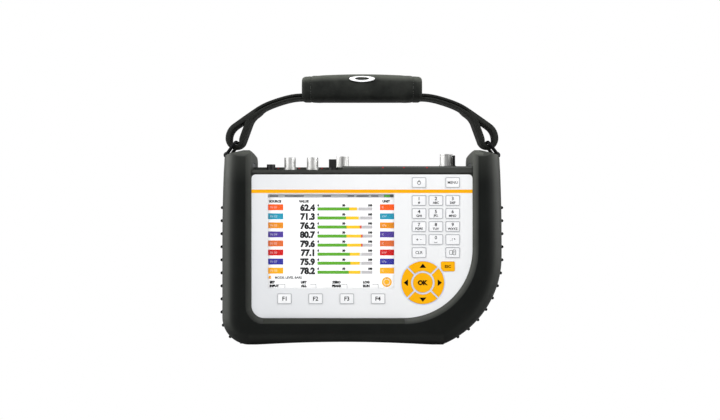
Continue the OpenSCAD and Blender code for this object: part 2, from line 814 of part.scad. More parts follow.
// Switch board behind the keys: a tall limb on the right and a foot under the screen, with a dome per key
module keypad_board() color("#1e6b3a") {
    limb_left = screen_high.x + lcd_lap.x + 3 * over;
    low = soft_row - key_height;
    difference() {
        union() {
            slab(y_plate, y_keyboard_back) {
                translate([limb_left, low])
                    square([last_column + key_width / 2 + over - limb_left, menu_row + key_height / 2 - low]);
                translate([screen_left, low])
                    square([limb_left - screen_left + over, screen_bottom - lcd_lap.y - over - low]);
            }
            for (key = KEYS) {
                spot = key_spot(key);
                rod_y([spot.x, y_plate - dome_height, spot.y], dome_radius, dome_height + over / 2);
            }
        }
        for (spot = board_spots)
            rod_y([spot.x, y_plate - over, spot.y], boss_radius + fit, board_thick + 2 * over);
        slab(y_plate - over, y_keyboard_back + over) difference() {
            translate([right_c.x, 0]) square([right_corner, right_c.y]);
            translate(right_c) circle(right_corner - boot_wall - 2 * housing_wall);
        }
    }
}

// Middle of a key's plunger; an arrow key's lies half way across the ring
function key_spot(key) = is_num(key[1])
    ? key[2] + (arrow_outer + arrow_inner) / 2 * [cos(key[1]), sin(key[1])] : key[2];

module main_board() color("#17603a") {
    slab(y_board, y_board + board_thick) difference() {
        translate(board_low) square(board_high - board_low);
        for (spot = board_spots) translate(spot) circle(screw_radius + snug);
        for (spot = screw_spots) translate(spot) circle(boss_radius + 2 * fit);
    }
}

module connector_board() color("#17603a") {
    edge = 2 * over;
    translate([edge - hatch_half, y_hatch[0] + edge, connector_low - board_thick])
        cube([2 * (hatch_half - edge), y_hatch[1] - y_hatch[0] - 2 * edge, board_thick]);
}

module top_panel() color("#37393b") {
    front = y_panel_front;
    difference() {
        along_x(-panel_half, panel_half)
            rounded_box([front, housing_top], [y_back, panel_top], [0, 0, 0, panel_round]);
        along_x(-panel_half - over, ledge_end)
            translate([front - over, ledge_top]) square([y_ledge - front + over, ledge_drop + over]);
        for (spot = socket_spots) translate([spot.x, spot.y, housing_top - over])
            cylinder(r = shank_radius + snug, h = panel_thick + 2 * over);
    }
}

// Shank of a socket through the panel, down to the connector board
module socket_shank(spot, seat) {
    translate([spot.x, spot.y, connector_low]) cylinder(r = shank_radius, h = seat - connector_low);
}

// Round metal socket with a base flange, a bore and an insert with contact pins
module sensor_socket(spot) {
    color("#c6c8ca") {
        socket_shank(spot, ledge_top);
        translate([spot.x, spot.y, ledge_top]) rotate_extrude() difference() {
            union() {
                square([sensor_radius + flange_grow, flange_height]);
                square([sensor_radius, sensor_height]);
            }
            translate([0, sensor_height - socket_depth]) square([sensor_bore, socket_depth + over]);
        }
    }
}

module sensor_socket_1() sensor_socket(socket_spots[0]);
module sensor_socket_2() sensor_socket(socket_spots[1]);

// Square black jack on a round metal washer
module square_jack(spot, seat, size, height, collar) {
    color("#191a1b") {
        socket_shank(spot, seat);
        translate([spot.x, spot.y, seat]) cylinder(r = collar, h = flange_height);
        translate([spot.x - size / 2, spot.y - size / 2, seat]) cube([size, size, height]);
    }
}

module service_jack() square_jack(socket_spots[2], ledge_top, service_size, service_height, service_collar);
module charge_jack() square_jack(socket_spots[6], panel_top, charge_size, charge_height, charge_collar);

// Low round jack
module power_jack() color("#191a1b") {
    spot = socket_spots[3];
    socket_shank(spot, ledge_top);
    translate([spot.x, spot.y, ledge_top]) cylinder(r = power_radius, h = power_height);
}

// Round bus socket: a base flange, a collar with a dark ring groove near its mouth and a bore
module bus_socket(spot, height) {
    color("#c6c8ca") {
        socket_shank(spot, panel_top);
        translate([spot.x, spot.y, panel_top]) rotate_extrude() difference() {
            union() {
                square([bus_radius + flange_grow, flange_height]);
                square([bus_radius, height]);
            }
            translate([bus_radius - groove_width, height - groove_drop])
                square([groove_width + over, groove_width]);
            translate([0, height - socket_depth]) square([bus_bore, socket_depth + over]);
        }
    }
}

module bus_socket_left() bus_socket(socket_spots[4], bus_height);
module bus_socket_right() bus_socket(socket_spots[5], bus_height + bus_extra);

module socket_nuts() color("#b9bbbd") {
    for (spot = socket_spots) translate([spot.x, spot.y, housing_top - nut_height]) difference() {
        cylinder(r = nut_size, h = nut_height, $fn = 6);
        translate([0, 0, -over]) cylinder(r = shank_radius + snug, h = nut_height + 2 * over);
    }
}

module housing_screws() color("#9a9c9e") {
    for (spot = screw_spots) {
        start = y_split - front_shell / 2;
        rod_y([spot.x, start, spot.y], screw_radius, y_back - screw_head - start);
        rod_y([spot.x, y_back - screw_head, spot.y], 2 * screw_radius, screw_head - fit);
    }
}

module board_screws() color("#9a9c9e") {
    for (spot = board_spots) {
        rod_y([spot.x, y_board - board_gap / 2, spot.y], screw_radius, board_gap / 2 + board_thick);
        rod_y([spot.x, y_board + board_thick, spot.y], 2 * screw_radius, screw_head);
    }
}

// Key: face, rim behind the overlay and plunger down to its dome
module key(name) {
    key = [for (k = KEYS) if (k[0] == name) k][0];
    amber = is_num(key[1]) || key[1] == "round" || key[1] == "escape";
    color(amber ? "#ffb400" : "#f4f5f6") {
        slab(y_key_front, y_key_rim) key_face(key, 0);
        slab(y_pad + key_play, y_key_rim) key_face(key, key_rim);
        slab(y_key_rim - over / 2, y_key_tip) key_face(key, -plunger_inset);
    }
}

// Swivel stud of the strap, drawn on the right: a bar in the inner slot, a pin and an outer head
module strap_stud() color("#8f9295") {
    translate([stud_bar_in, -stud_bar.y / 2, stud_height - stud_bar.z / 2]) cube(stud_bar);
    rod_x([stud_bar_in, 0, stud_height], stud_radius, stud_out - stud_bar_in + over / 2);
    rod_x([stud_out, 0, stud_height], stud_head_radius, stud_head);
}

module strap_stud_left() mirror([1, 0, 0]) strap_stud();
module strap_stud_right() strap_stud();

// Swivel lug, drawn on the right: a hub on the stud and an eye for the ring
module strap_lug() color("#5c5f62") {
    eye = [-ring_low.x, ring_low.y];
    difference() {
        union() {
            rod_x([lug_in, 0, stud_height], hub_radius, lug_out - lug_in);
            rod_y([eye.x, -eye_half, eye.y], eye_radius, 2 * eye_half);
            translate([eye.x - eye_radius, -hub_radius, stud_height])
                cube([lug_out - eye.x + eye_radius, 2 * hub_radius, eye.y - stud_height]);
        }
        rod_x([lug_in - over, 0, stud_height], stud_radius + stud_clear, lug_out - lug_in + 2 * over);
        rod_y([eye.x, -eye_half - over, eye.y], wire_radius + snug, 2 * (eye_half + over));
    }
}

module strap_lug_left() mirror([1, 0, 0]) strap_lug();
module strap_lug_right() strap_lug();

// Wire ring with four bends, drawn on the left in its own plane and then tilted
module strap_ring() color("#77797c") {
    side = ring_half - ring_bend;
    rise = ring_rise - 2 * ring_bend;
    translate([ring_low.x, 0, ring_low.y]) rotate([0, -ring_tilt, 0]) {
        rod_y([0, -side, 0], wire_radius, 2 * side);
        rod_y([ring_rise, -side, 0], wire_radius, 2 * side);
        for (way = [-1, 1]) {
            rod_x([ring_bend, way * ring_half, 0], wire_radius, rise);
            translate([ring_bend, way * side, 0]) rotate(way > 0 ? 90 : 180) ring_corner();
            translate([ring_rise - ring_bend, way * side, 0]) rotate(way > 0 ? 0 : 270) ring_corner();
        }
    }
}

module ring_corner() {
    rotate_extrude(angle = 90) translate([ring_bend, 0]) circle(wire_radius);
}

module strap_ring_left() strap_ring();
module strap_ring_right() mirror([1, 0, 0]) strap_ring();

// Points on an arc in X and Z
function arc_points(centre, radius, from, to) =
    [for (i = [0:arc_steps]) let (angle = from + (to - from) * i / arc_steps)
        centre + radius * [cos(angle), sin(angle)]];

// Left half of one face of the webbing: inset 0 is its outer face, inset strap_thick its inner face
function strap_side(inset) = concat(
    arc_points(bend_c, strap_bend - inset, 90, 90 + strap_fall),
    arc_points(turn_c, outer_turn - inset, 90 + strap_fall, 180),
    arc_points(loop_c, loop_radius - inset, 180, 270 + inner_slope),
    arc_points(inner_turn_c, inner_turn + inset, 90 + inner_slope, 90 + strap_fall),
    arc_points(bend_c, under_radius + inset, 90 + strap_fall, 90));

module strap_outline(inset) {
    left = strap_side(inset);
    last = len(left) - 1;
    polygon(concat(left, [for (i = [0:last]) [-left[last - i].x, left[last - i].y]]));
}

// Webbing: one closed band with two layers through the grip and a loop round each ring
module strap_webbing() color("#26272a") {
    slab(-strap_width / 2, strap_width / 2) difference() {
        strap_outline(0);
        strap_outline(strap_thick);
    }
}

// Padded sleeve: a rounded section, crowned along its length, with a lower sewn hem at each end
module hand_grip() color("#2e2f31") {
    half = grip_length / 2;
    difference() {
        union() {
            grip_sleeve(half, hem_step);
            grip_sleeve(half - hem_width, 0);
        }
        translate([-half - over, -strap_width / 2 - fit, strap_top - strap_total - fit])
            cube([grip_length + 2 * over, strap_width + 2 * fit, strap_total + 2 * fit]);
    }
}

module grip_sleeve(half, inset) {
    crown_radius = (pow(grip_length / 2, 2) + pow(grip_crown, 2)) / (2 * grip_crown);
    top = grip_bottom + grip_height - inset;
    corner = grip_height / 2 - grip_side - inset;
    intersection() {
        along_x(-half, half) rounded_box([-grip_depth / 2 + inset, grip_bottom + inset / 4],
            [grip_depth / 2 - inset, top], [corner / 2, corner / 2, corner, corner]);
        slab(-grip_depth, grip_depth) intersection() {
            translate([-half - over, grip_bottom - over])
                square([2 * half + 2 * over, grip_height + 2 * over]);
            translate([0, top - crown_radius]) circle(crown_radius, $fn = fine);
        }
    }
}

rubber_boot();
front_housing();
rear_housing();
housing_seal();
keypad_overlay();
display_window();
display_gasket();
lcd_module();
keypad_board();
main_board();
connector_board();
battery_pack();
top_panel();
sensor_socket_1();
sensor_socket_2();
service_jack();
power_jack();
bus_socket_left();
bus_socket_right();
charge_jack();
socket_nuts();
housing_screws();
board_screws();
shoulder_block_left();
shoulder_block_right();
strap_stud_left();
strap_stud_right();
key("f1");  // key_f1
key("f2");  // key_f2
key("f3");  // key_f3
key("f4");  // key_f4
key("power");  // key_power
key("menu");  // key_menu
key("1");  // key_1
key("2");  // key_2
key("3");  // key_3
key("4");  // key_4
key("5");  // key_5
key("6");  // key_6
key("7");  // key_7
key("8");  // key_8
key("9");  // key_9
key("sign");  // key_sign
key("0");  // key_0
key("point");  // key_point
key("clear");  // key_clear
key("note");  // key_note
key("escape");  // key_escape
key("up");  // key_up
key("down");  // key_down
key("left");  // key_left
key("right");  // key_right
key("ok");  // key_ok
strap_lug_left();
strap_lug_right();
strap_ring_left();
strap_ring_right();
strap_webbing();
hand_grip();
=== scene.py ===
import math
import bpy
import numpy as np
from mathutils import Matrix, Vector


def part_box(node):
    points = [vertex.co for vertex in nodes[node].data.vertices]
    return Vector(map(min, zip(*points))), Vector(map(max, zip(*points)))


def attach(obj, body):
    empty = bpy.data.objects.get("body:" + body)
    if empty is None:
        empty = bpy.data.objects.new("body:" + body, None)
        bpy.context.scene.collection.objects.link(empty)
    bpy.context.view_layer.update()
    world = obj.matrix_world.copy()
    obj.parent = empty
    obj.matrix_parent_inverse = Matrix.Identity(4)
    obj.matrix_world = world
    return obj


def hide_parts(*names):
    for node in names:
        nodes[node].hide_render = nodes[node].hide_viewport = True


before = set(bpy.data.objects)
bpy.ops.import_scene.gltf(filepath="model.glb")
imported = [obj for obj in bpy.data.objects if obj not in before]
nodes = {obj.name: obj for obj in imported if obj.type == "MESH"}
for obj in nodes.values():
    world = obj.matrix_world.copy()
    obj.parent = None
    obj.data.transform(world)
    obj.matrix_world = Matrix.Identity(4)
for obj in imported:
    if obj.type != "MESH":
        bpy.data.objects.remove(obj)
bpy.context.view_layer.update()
mm = 0.001


class Tone:
    # A shader socket that can be used in plain arithmetic
    def __init__(self, tree, socket):
        self.tree = tree
        self.socket = socket

    def make(self, kind, settings=None, inputs=None, output=0):
        # Any other node: its type, its settings, then the values or links of its sockets
        node = self.tree.nodes.new("ShaderNode" + kind)
        for name, value in (settings or {}).items():
            setattr(node, name, value)
        for name, value in (inputs or {}).items():
            if isinstance(value, Tone):
                self.tree.links.new(value.socket, node.inputs[name])
            else:
                node.inputs[name].default_value = value
        return Tone(self.tree, node.outputs[output])

    def maths(self, operation, first, second=0.0):
        return self.make("Math", {"operation": operation}, {0: first, 1: second})

    def __add__(self, other):
        return self.maths("ADD", self, other)

    def __radd__(self, other):
        return self.maths("ADD", other, self)

    def __sub__(self, other):
        return self.maths("SUBTRACT", self, other)

    def __rsub__(self, other):
        return self.maths("SUBTRACT", other, self)

    def __mul__(self, other):
        return self.maths("MULTIPLY", self, other)

    def __rmul__(self, other):
        return self.maths("MULTIPLY", other, self)

    def __pow__(self, other):
        return self.maths("POWER", self, other)

    def above(self, level):
        return self.maths("GREATER_THAN", self, level)

    def below(self, level):
        return self.maths("LESS_THAN", self, level)

    def sine(self):
        return self.maths("SINE", self)

    def noise(self, scale, detail=4.0, rough=0.6):
        sockets = {"Vector": self, "Scale": scale, "Detail": detail, "Roughness": rough}
        return self.make("TexNoise", None, sockets, "Fac")

    def ramp(self, low, high, atLow, atHigh):
        # Straight line from one value to another, held beyond both ends
        return self.make("MapRange", None, {0: self, 1: low, 2: high, 3: atLow, 4: atHigh})

    def clamp(self):
        return self.ramp(0.0, 1.0, 0.0, 1.0)

    def mix(self, first, second):
        return self.make("Mix", {"data_type": "RGBA"}, {0: self, 6: first, 7: second}, 2)

    def part(self, axis):
        return self.make("SeparateXYZ", None, {0: self}, axis)


def srgb(red, green, blue):
    # An 8-bit screen colour as linear light
    value = np.array([red, green, blue]) / 255.0
    value = np.where(value <= 0.04045, value / 12.92, ((value + 0.055) / 1.055) ** 2.4)
    return (*[float(v) for v in value], 1.0)


def material(name, build, settings):
    made = bpy.data.materials.new(name)
    made.use_nodes = True
    tree = made.node_tree
    shader = tree.nodes["Principled BSDF"]
    place = Tone(tree, tree.nodes.new("ShaderNodeTexCoord").outputs["Object"])
    for key, value in settings.items():
        shader.inputs[key].default_value = value
    for key, tone in build(place).items():
        tree.links.new(tone.socket, shader.inputs[key])
    return made


def bump(place, height, strength, distance):
    return place.make("Bump", None, {"Height": height, "Strength": strength, "Distance": distance})


def facing(place):
    return place.make("TexCoord", None, None, "Normal")


# Ranges are for ramp: from, to, value at the first, value at the second; places are in metres
# Where the painted highlight on the boot's rubber falls, and where painted shade takes it back on the sides
# and underneath
paintedSheen = dict(turned=(0.05, 0.35, 0.0, 1.0), crest=(-0.0365, -0.0343, 0.15, 1.0),
            leftward=(-0.1, 0.1, 1.0, 0.0), outer=0.74, outerLeft=0.16, innerLeft=0.5,
            under=(-0.5, -0.05, 0.1, 1.0), shoulders=(0.148, 0.178, 0.0, 0.26),
            blotch=60.0, blotchDetail=5.0, blotchDepth=0.5, blotchLeast=0.75)


def paintedSheenShare(place):
    # Painted highlight on the rubber where it turns away from the front and back, behind the front crest, and
    # a little on the shoulders; less of it on the outer sides and on the left inner slope, and painted shade
    # underneath; random blotches break it up
    normal = facing(place)
    turned = 1.0 - normal.part(1) * normal.part(1)
    crest = place.part(1).ramp(*paintedSheen["crest"])
    leftward = place.part(0).ramp(*paintedSheen["leftward"])
    outward = normal.part(0) * place.part(0)
    lessHighlight = (outward.above(0.0) * (paintedSheen["outer"] - leftward * paintedSheen["outerLeft"])
              + outward.below(0.0) * leftward * paintedSheen["innerLeft"])
    under = normal.part(2).ramp(*paintedSheen["under"])
    shoulderHighlight = place.part(2).ramp(*paintedSheen["shoulders"])
    paintedHighlight = turned.ramp(*paintedSheen["turned"]) * crest * under * (1.0 - lessHighlight) + shoulderHighlight
    blotch = place.noise(paintedSheen["blotch"], paintedSheen["blotchDetail"]) * paintedSheen["blotchDepth"] + paintedSheen["blotchLeast"]
    return (paintedHighlight * blotch).clamp()


grain = dict(drift=28.0, driftRange=(0.3, 0.7, 0.0, 1.0), detail=3.0, roughRange=(0.25, 0.75), strength=0.5)


def grained(name, dark, light, rough, scale, depth, settings=None, highlightTone=None):
    # Colour drifts between two tones over a few centimetres; a fine grain lifts the surface; a highlight
    # tone, where given, is mixed in as a painted highlight
    def build(place):
        fine = place.noise(scale, grain["detail"])
        tone = place.noise(grain["drift"]).ramp(*grain["driftRange"]).mix(dark, light)
        if highlightTone:
            tone = paintedSheenShare(place).mix(tone, highlightTone)
        return {"Base Color": tone,
                "Roughness": fine.ramp(*grain["roughRange"], *rough),
                "Normal": bump(place, fine, grain["strength"], depth)}
    return material(name, build, settings or {})


# The rubber's pale third tone is the painted highlight on its edges and shoulders
look = dict(rubberDark=srgb(9, 12, 10), rubberLight=srgb(16, 19, 17), rubberHighlight=srgb(86, 88, 83),
            plasticDark=srgb(44, 46, 43), plasticLight=srgb(56, 58, 54),
            keyWhite=srgb(253, 253, 254), keyShade=srgb(242, 243, 245),
            amber=srgb(255, 184, 0), amberShade=srgb(250, 177, 0),
            rubberRough=(0.42, 0.58), rubberGrain=1500.0, rubberDepth=0.00006, rubberShine=0.16,
            amberShine=0.15)

rubber = grained("bootRubber", look["rubberDark"], look["rubberLight"], look["rubberRough"],
                 look["rubberGrain"], look["rubberDepth"], {"Specular IOR Level": look["rubberShine"]},
                 look["rubberHighlight"])
housing = grained("housingPlastic", look["plasticDark"], look["plasticLight"],
                  rough=(0.45, 0.6), scale=2200.0, depth=0.00004)
blackPlastic = grained("jackPlastic", srgb(16, 16, 17), srgb(26, 26, 27),
                       rough=(0.35, 0.5), scale=2400.0, depth=0.00003)
sealRubber = grained("sealRubber", srgb(18, 18, 19), srgb(28, 28, 29),
                     rough=(0.6, 0.75), scale=1800.0, depth=0.00003)
board = grained("boardVarnish", srgb(14, 78, 42), srgb(22, 96, 54),
                rough=(0.3, 0.45), scale=900.0, depth=0.00003)
wrap = grained("cellWrap", srgb(38, 86, 142), srgb(52, 104, 164),
               rough=(0.25, 0.4), scale=600.0, depth=0.00004)
keyWhite = grained("keyWhite", look["keyShade"], look["keyWhite"],
                   rough=(0.4, 0.5), scale=2600.0, depth=0.00001)
keyAmber = grained("keyAmber", look["amberShade"], look["amber"],
                   rough=(0.5, 0.62), scale=2600.0, depth=0.00001,
                   settings={"Specular IOR Level": look["amberShine"]})

brush = dict(lines=420.0, lineDetail=2.0, lineTone=(0.2, 0.8, 0.0, 1.0), lineRough=(0.3, 0.7), strength=0.1,
             depth=0.00002, scuffs=120.0, scuffDetail=6.0, scuffRange=(0.55, 0.75, 0.0, 1.0), scuffRough=0.12)


def brushed(name, dark, light, rough, stretch):
    # Fine lines along the direction that is stretched, and a few faint scuffs
    def build(place):
        drawn = place.make("Mapping", None, {"Vector": place, "Scale": stretch})
        lines = drawn.noise(brush["lines"], brush["lineDetail"])
        scuff = place.noise(brush["scuffs"], brush["scuffDetail"]).ramp(*brush["scuffRange"])
        return {"Base Color": lines.ramp(*brush["lineTone"]).mix(dark, light),
                "Roughness": lines.ramp(*brush["lineRough"], *rough) + scuff * brush["scuffRough"],
                "Normal": bump(place, lines, brush["strength"], brush["depth"])}
    return material(name, build, {"Metallic": 1.0})


# On the sockets the lines run upright: besides the brushed grain, their paler streaks are painted vertical
# highlights
nickel = brushed("socketNickel", srgb(196, 196, 194), srgb(224, 224, 222),
                 rough=(0.42, 0.54), stretch=(1.0, 1.0, 0.06))
steel = brushed("studSteel", srgb(82, 84, 87), srgb(116, 118, 122),
                rough=(0.36, 0.5), stretch=(0.1, 1.0, 1.0))
blackSteel = brushed("ringSteel", srgb(22, 22, 23), srgb(38, 38, 40),
                     rough=(0.5, 0.64), stretch=(0.1, 1.0, 1.0))
darkMetal = brushed("lugMetal", srgb(48, 49, 51), srgb(66, 68, 70),
                    rough=(0.4, 0.55), stretch=(1.0, 1.0, 0.1))
gold = brushed("pinGold", srgb(196, 158, 84), srgb(226, 190, 112),
               rough=(0.25, 0.35), stretch=(1.0, 1.0, 0.1))

overlay = dict(film=srgb(243, 244, 245), shade=srgb(224, 226, 229), stripe=srgb(246, 174, 0),
               padTint=srgb(220, 227, 245), stripeLow=0.1389, stripeHigh=0.1421,
               padX=0.0553, padZ=0.0574, padRadius=0.0207,
               leftFade=(-0.1, 0.0, 1.0, 0.0), leftShare=0.72, lowFade=(0.03, 0.12, 1.0, 0.0), lowShare=0.28,
               cloud=40.0, cloudShare=0.15, fadeRange=(0.0, 1.1, 0.0, 1.0),
               grain=3000.0, grainDetail=2.0, rough=(0.2, 0.8, 0.38, 0.5), strength=0.3, depth=0.00001,
               shine=0.2)


def overlayLook(place):
    # White film with painted shade towards the left and below, broken up by random clouds, with a printed
    # stripe and a tinted disc under the arrows
    x, z = place.part(0), place.part(2)
    # Painted shade: the film greys towards the left and the bottom
    fade = (x.ramp(*overlay["leftFade"]) * overlay["leftShare"]
            + z.ramp(*overlay["lowFade"]) * overlay["lowShare"])
    cloud = place.noise(overlay["cloud"]) * overlay["cloudShare"]
    film = (fade + cloud).ramp(*overlay["fadeRange"]).mix(overlay["film"], overlay["shade"])
    stripe = z.above(overlay["stripeLow"]) * z.below(overlay["stripeHigh"])
    away = ((x - overlay["padX"]) ** 2.0 + (z - overlay["padZ"]) ** 2.0) ** 0.5
    disc = away.below(overlay["padRadius"])
    fine = place.noise(overlay["grain"], overlay["grainDetail"])
    return {"Base Color": stripe.mix(disc.mix(film, overlay["padTint"]), overlay["stripe"]),
            "Roughness": fine.ramp(*overlay["rough"]),
            "Normal": bump(place, fine, overlay["strength"], overlay["depth"])}


filmWhite = material("overlayFilm", overlayLook, {"Specular IOR Level": overlay["shine"]})

window = dict(haze=60.0, hazeDetail=5.0, rough=(0.3, 0.7, 0.03, 0.08), clear=(0.2, 0.8, 0.008, 0.02),
              cool=srgb(238, 244, 250), pale=srgb(250, 252, 255), coat=0.2)


def glassLook(place):
    # Nearly clear, with a faint haze
    haze = place.noise(window["haze"], window["hazeDetail"])
    return {"Roughness": haze.ramp(*window["rough"]), "Alpha": haze.ramp(*window["clear"]),
            "Base Color": haze.mix(window["cool"], window["pale"])}


glass = material("windowGlass", glassLook, {"Coat Weight": window["coat"]})

panel = dict(cloud=30.0, grey=srgb(250, 251, 252), white=srgb(255, 255, 255),
             rough=(0.3, 0.7, 0.5, 0.6), glow=0.16)


def panelGlow(place):
    # Lit white panel, very slightly uneven
    cloud = place.noise(panel["cloud"])
    tone = cloud.mix(panel["grey"], panel["white"])
    return {"Base Color": tone, "Emission Color": tone, "Roughness": cloud.ramp(*panel["rough"])}


lcdWhite = material("panelWhite", panelGlow, {"Emission Strength": panel["glow"]})

inkLook = dict(cloud=400.0, detail=3.0, thin=0.1, fade=(0.9, 0.9, 0.9, 1.0), rough=(0.3, 0.7, 0.45, 0.6),
               shine=0.08, glow=0.12)


def printLook(place):
    # Ink: the colour is stored on the mesh, its density varies slightly
    tint = place.make("VertexColor", {"layer_name": "tint"}, None, "Color")
    cloud = place.noise(inkLook["cloud"], inkLook["detail"])
    tone = place.make("MixRGB", {"blend_type": "MULTIPLY"},
                      {0: cloud * inkLook["thin"], 1: tint, 2: inkLook["fade"]})
    return {"Base Color": tone, "Roughness": cloud.ramp(*inkLook["rough"])}


def screenInk(place):
    # The same ink, lit from behind
    made = printLook(place)
    made["Emission Color"] = made["Base Color"]
    return made


ink = material("printedInk", printLook, {"Specular IOR Level": inkLook["shine"]})
litInk = material("screenInk", screenInk,
                  {"Emission Strength": inkLook["glow"], "Specular IOR Level": inkLook["shine"]})

finishes = dict(rubber_boot=rubber, front_housing=housing, rear_housing=housing, housing_seal=sealRubber,
                keypad_overlay=filmWhite, display_window=glass, display_gasket=sealRubber,
                lcd_module=lcdWhite, keypad_board=board, main_board=board, connector_board=board,
                battery_pack=wrap,
                shoulder_block_left=housing, shoulder_block_right=housing, top_panel=housing,
                sensor_socket_1=nickel, sensor_socket_2=nickel,
                bus_socket_left=nickel, bus_socket_right=nickel,
                service_jack=blackPlastic, power_jack=blackPlastic, charge_jack=blackPlastic,
                socket_nuts=nickel, housing_screws=steel, board_screws=steel,
                strap_stud_left=steel, strap_stud_right=steel,
                strap_lug_left=darkMetal, strap_lug_right=darkMetal,
                strap_ring_left=blackSteel, strap_ring_right=blackSteel)
amberKeys = ("escape", "up", "down", "left", "right", "ok")
keyNames = [name[len("key_"):] for name in nodes if name.startswith("key_")]
finishes.update({"key_" + key: keyAmber if key in amberKeys else keyWhite for key in keyNames})
for name, made in finishes.items():
    nodes[name].data.materials.clear()
    nodes[name].data.materials.append(made)
print("materials done")


def newObject(name, points, faces, made, body):
    mesh = bpy.data.meshes.new(name)
    mesh.from_pydata(points.tolist(), [], faces.tolist() if hasattr(faces, "tolist") else faces)
    mesh.materials.append(made)
    obj = bpy.data.objects.new(name, mesh)
    bpy.context.collection.objects.link(obj)
    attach(obj, body)
    return obj


def gridFaces(rows, columns, wrapRows, wrapColumns):
    # Quads of a grid of points stored row by row
    rowStarts = np.arange(rows if wrapRows else rows - 1)
    columnStarts = np.arange(columns if wrapColumns else columns - 1)
    r, c = [side.ravel() for side in np.meshgrid(rowStarts, columnStarts, indexing="ij")]
    r1, c1 = (r + 1) % rows, (c + 1) % columns
    return np.stack([r * columns + c, r1 * columns + c, r1 * columns + c1, r * columns + c1], axis=1)


def smooth(obj):
    obj.data.polygons.foreach_set("use_smooth", np.ones(len(obj.data.polygons), dtype=bool))


def meshPoints(mesh):
    flat = np.empty(len(mesh.vertices) * 3, dtype=np.float32)
    mesh.vertices.foreach_get("co", flat)
    return flat.reshape(-1, 3)


def printSheet(name, shapes, made, body):
    # Flat printed shapes facing the user, gathered in one mesh; each is (points, faces, colour)
    start, points, faces, colours = 0, [], [], []
    for shapePoints, shapeFaces, colour in shapes:
        points.append(shapePoints)
        faces += [[start + int(i) for i in face] for face in shapeFaces]
        colours.append(np.tile(np.array(colour), (len(shapePoints), 1)))
        start += len(shapePoints)
    obj = newObject(name, np.concatenate(points), faces, made, body)
    layer = obj.data.color_attributes.new("tint", "FLOAT_COLOR", "POINT")
    layer.data.foreach_set("color", np.concatenate(colours).astype(np.float32).ravel())


def onFront(flat, y):
    # Points given in X and Z, in millimetres, at one depth
    flat = np.asarray(flat, dtype=float)
    return np.stack([flat[:, 0], np.full(len(flat), y), flat[:, 1]], axis=1) * mm


def polygon(flat, y, colour):
    return onFront(flat, y), [list(range(len(flat)))], colour


def rect(x0, x1, z0, z1, y, colour):
    return polygon([[x0, z0], [x1, z0], [x1, z1], [x0, z1]], y, colour)


def ringShape(outer, inner, y, colour):
    # Band between two outlines with the same number of points
    count = len(outer)
    faces = [[i, (i + 1) % count, count + (i + 1) % count, count + i] for i in range(count)]
    return onFront(np.concatenate([outer, inner]), y), faces, colour


def oval(x, z, radiusX, radiusZ, count=40):
    angle = np.linspace(0, 2 * np.pi, count, endpoint=False)
    return np.stack([x + radiusX * np.cos(angle), z + radiusZ * np.sin(angle)], axis=1)


def roundBox(x, z, width, height, corner, count=6):
    # Outline of a rectangle with round corners, counter-clockwise
    turn = np.linspace(0, np.pi / 2, count)
    quarter = np.stack([np.cos(turn), np.sin(turn)], axis=1) * corner
    parts = []
    for i, (sx, sz) in enumerate([(1, 1), (-1, 1), (-1, -1), (1, -1)]):
        spin = i * np.pi / 2
        turned = quarter @ np.array([[np.cos(spin), np.sin(spin)], [-np.sin(spin), np.cos(spin)]])
        parts.append(turned + [x + sx * (width / 2 - corner), z + sz * (height / 2 - corner)])
    return np.concatenate(parts)


def frameBox(x, z, width, height, thick, corner, innerCorner, y, colour):
    # Border of a rectangle with round corners
    outer = roundBox(x, z, width, height, corner)
    inner = roundBox(x, z, width - 2 * thick, height - 2 * thick, innerCorner)
    return ringShape(outer, inner, y, colour)


def words(text, x, z, size, y, colour, bold=0.0, middle=True):
    # Letters of the built-in typeface as flat shapes, centred on x or starting there
    curve = bpy.data.curves.new("letters", "FONT")
    curve.body = text
    curve.size = size
    curve.offset = bold
    curve.resolution_u = 3
    obj = bpy.data.objects.new("letters", curve)
    bpy.context.collection.objects.link(obj)
    bpy.context.view_layer.update()
    mesh = obj.evaluated_get(bpy.context.evaluated_depsgraph_get()).to_mesh()
    flat = meshPoints(mesh)[:, :2].astype(float)
    faces = [list(p.vertices) for p in mesh.polygons]
    bpy.data.objects.remove(obj)
    bpy.data.curves.remove(curve)
    low, high = flat.min(axis=0), flat.max(axis=0)
    shift = (low + high) / 2 if middle else np.array([low[0], (low[1] + high[1]) / 2])
    return onFront(flat - shift + [x, z], y), faces, colour


# A flat strip in front of the boot that carries a painted highlight for the bevel under the film
lowerEdge = dict(low=19.9, high=25.05, fade=1.1, left=-89.2, right=38.2, front=-36.53, tone=srgb(60, 62, 57),
                 blotch=60.0, blotchDetail=5.0, blotchDepth=0.3, blotchLeast=0.75)


def bevelHighlight(place):
    # Painted highlight below the film's lower edge, standing in for the lit bevel there; it fades at its foot
    foot = lowerEdge["low"]
    height = place.part(2).ramp(foot * mm, (foot + lowerEdge["fade"]) * mm, 0.0, 1.0)
    blotch = place.noise(lowerEdge["blotch"], lowerEdge["blotchDetail"])
    paintedHighlight = height * (blotch * lowerEdge["blotchDepth"] + lowerEdge["blotchLeast"])
    fine = place.noise(look["rubberGrain"], grain["detail"])
    return {"Base Color": paintedHighlight.clamp().mix(look["rubberDark"], lowerEdge["tone"]),
            "Roughness": fine.ramp(*grain["roughRange"], *look["rubberRough"]),
            "Normal": bump(place, fine, grain["strength"], look["rubberDepth"])}


bevelHighlightBand = material("bevelHighlightBand", bevelHighlight, {"Specular IOR Level": look["rubberShine"]})
bandPoints, bandFaces, _ = rect(lowerEdge["left"], lowerEdge["right"], lowerEdge["low"], lowerEdge["high"],
                                lowerEdge["front"], None)
newObject("bevel_highlight_band", bandPoints, bandFaces, bevelHighlightBand, "instrument")

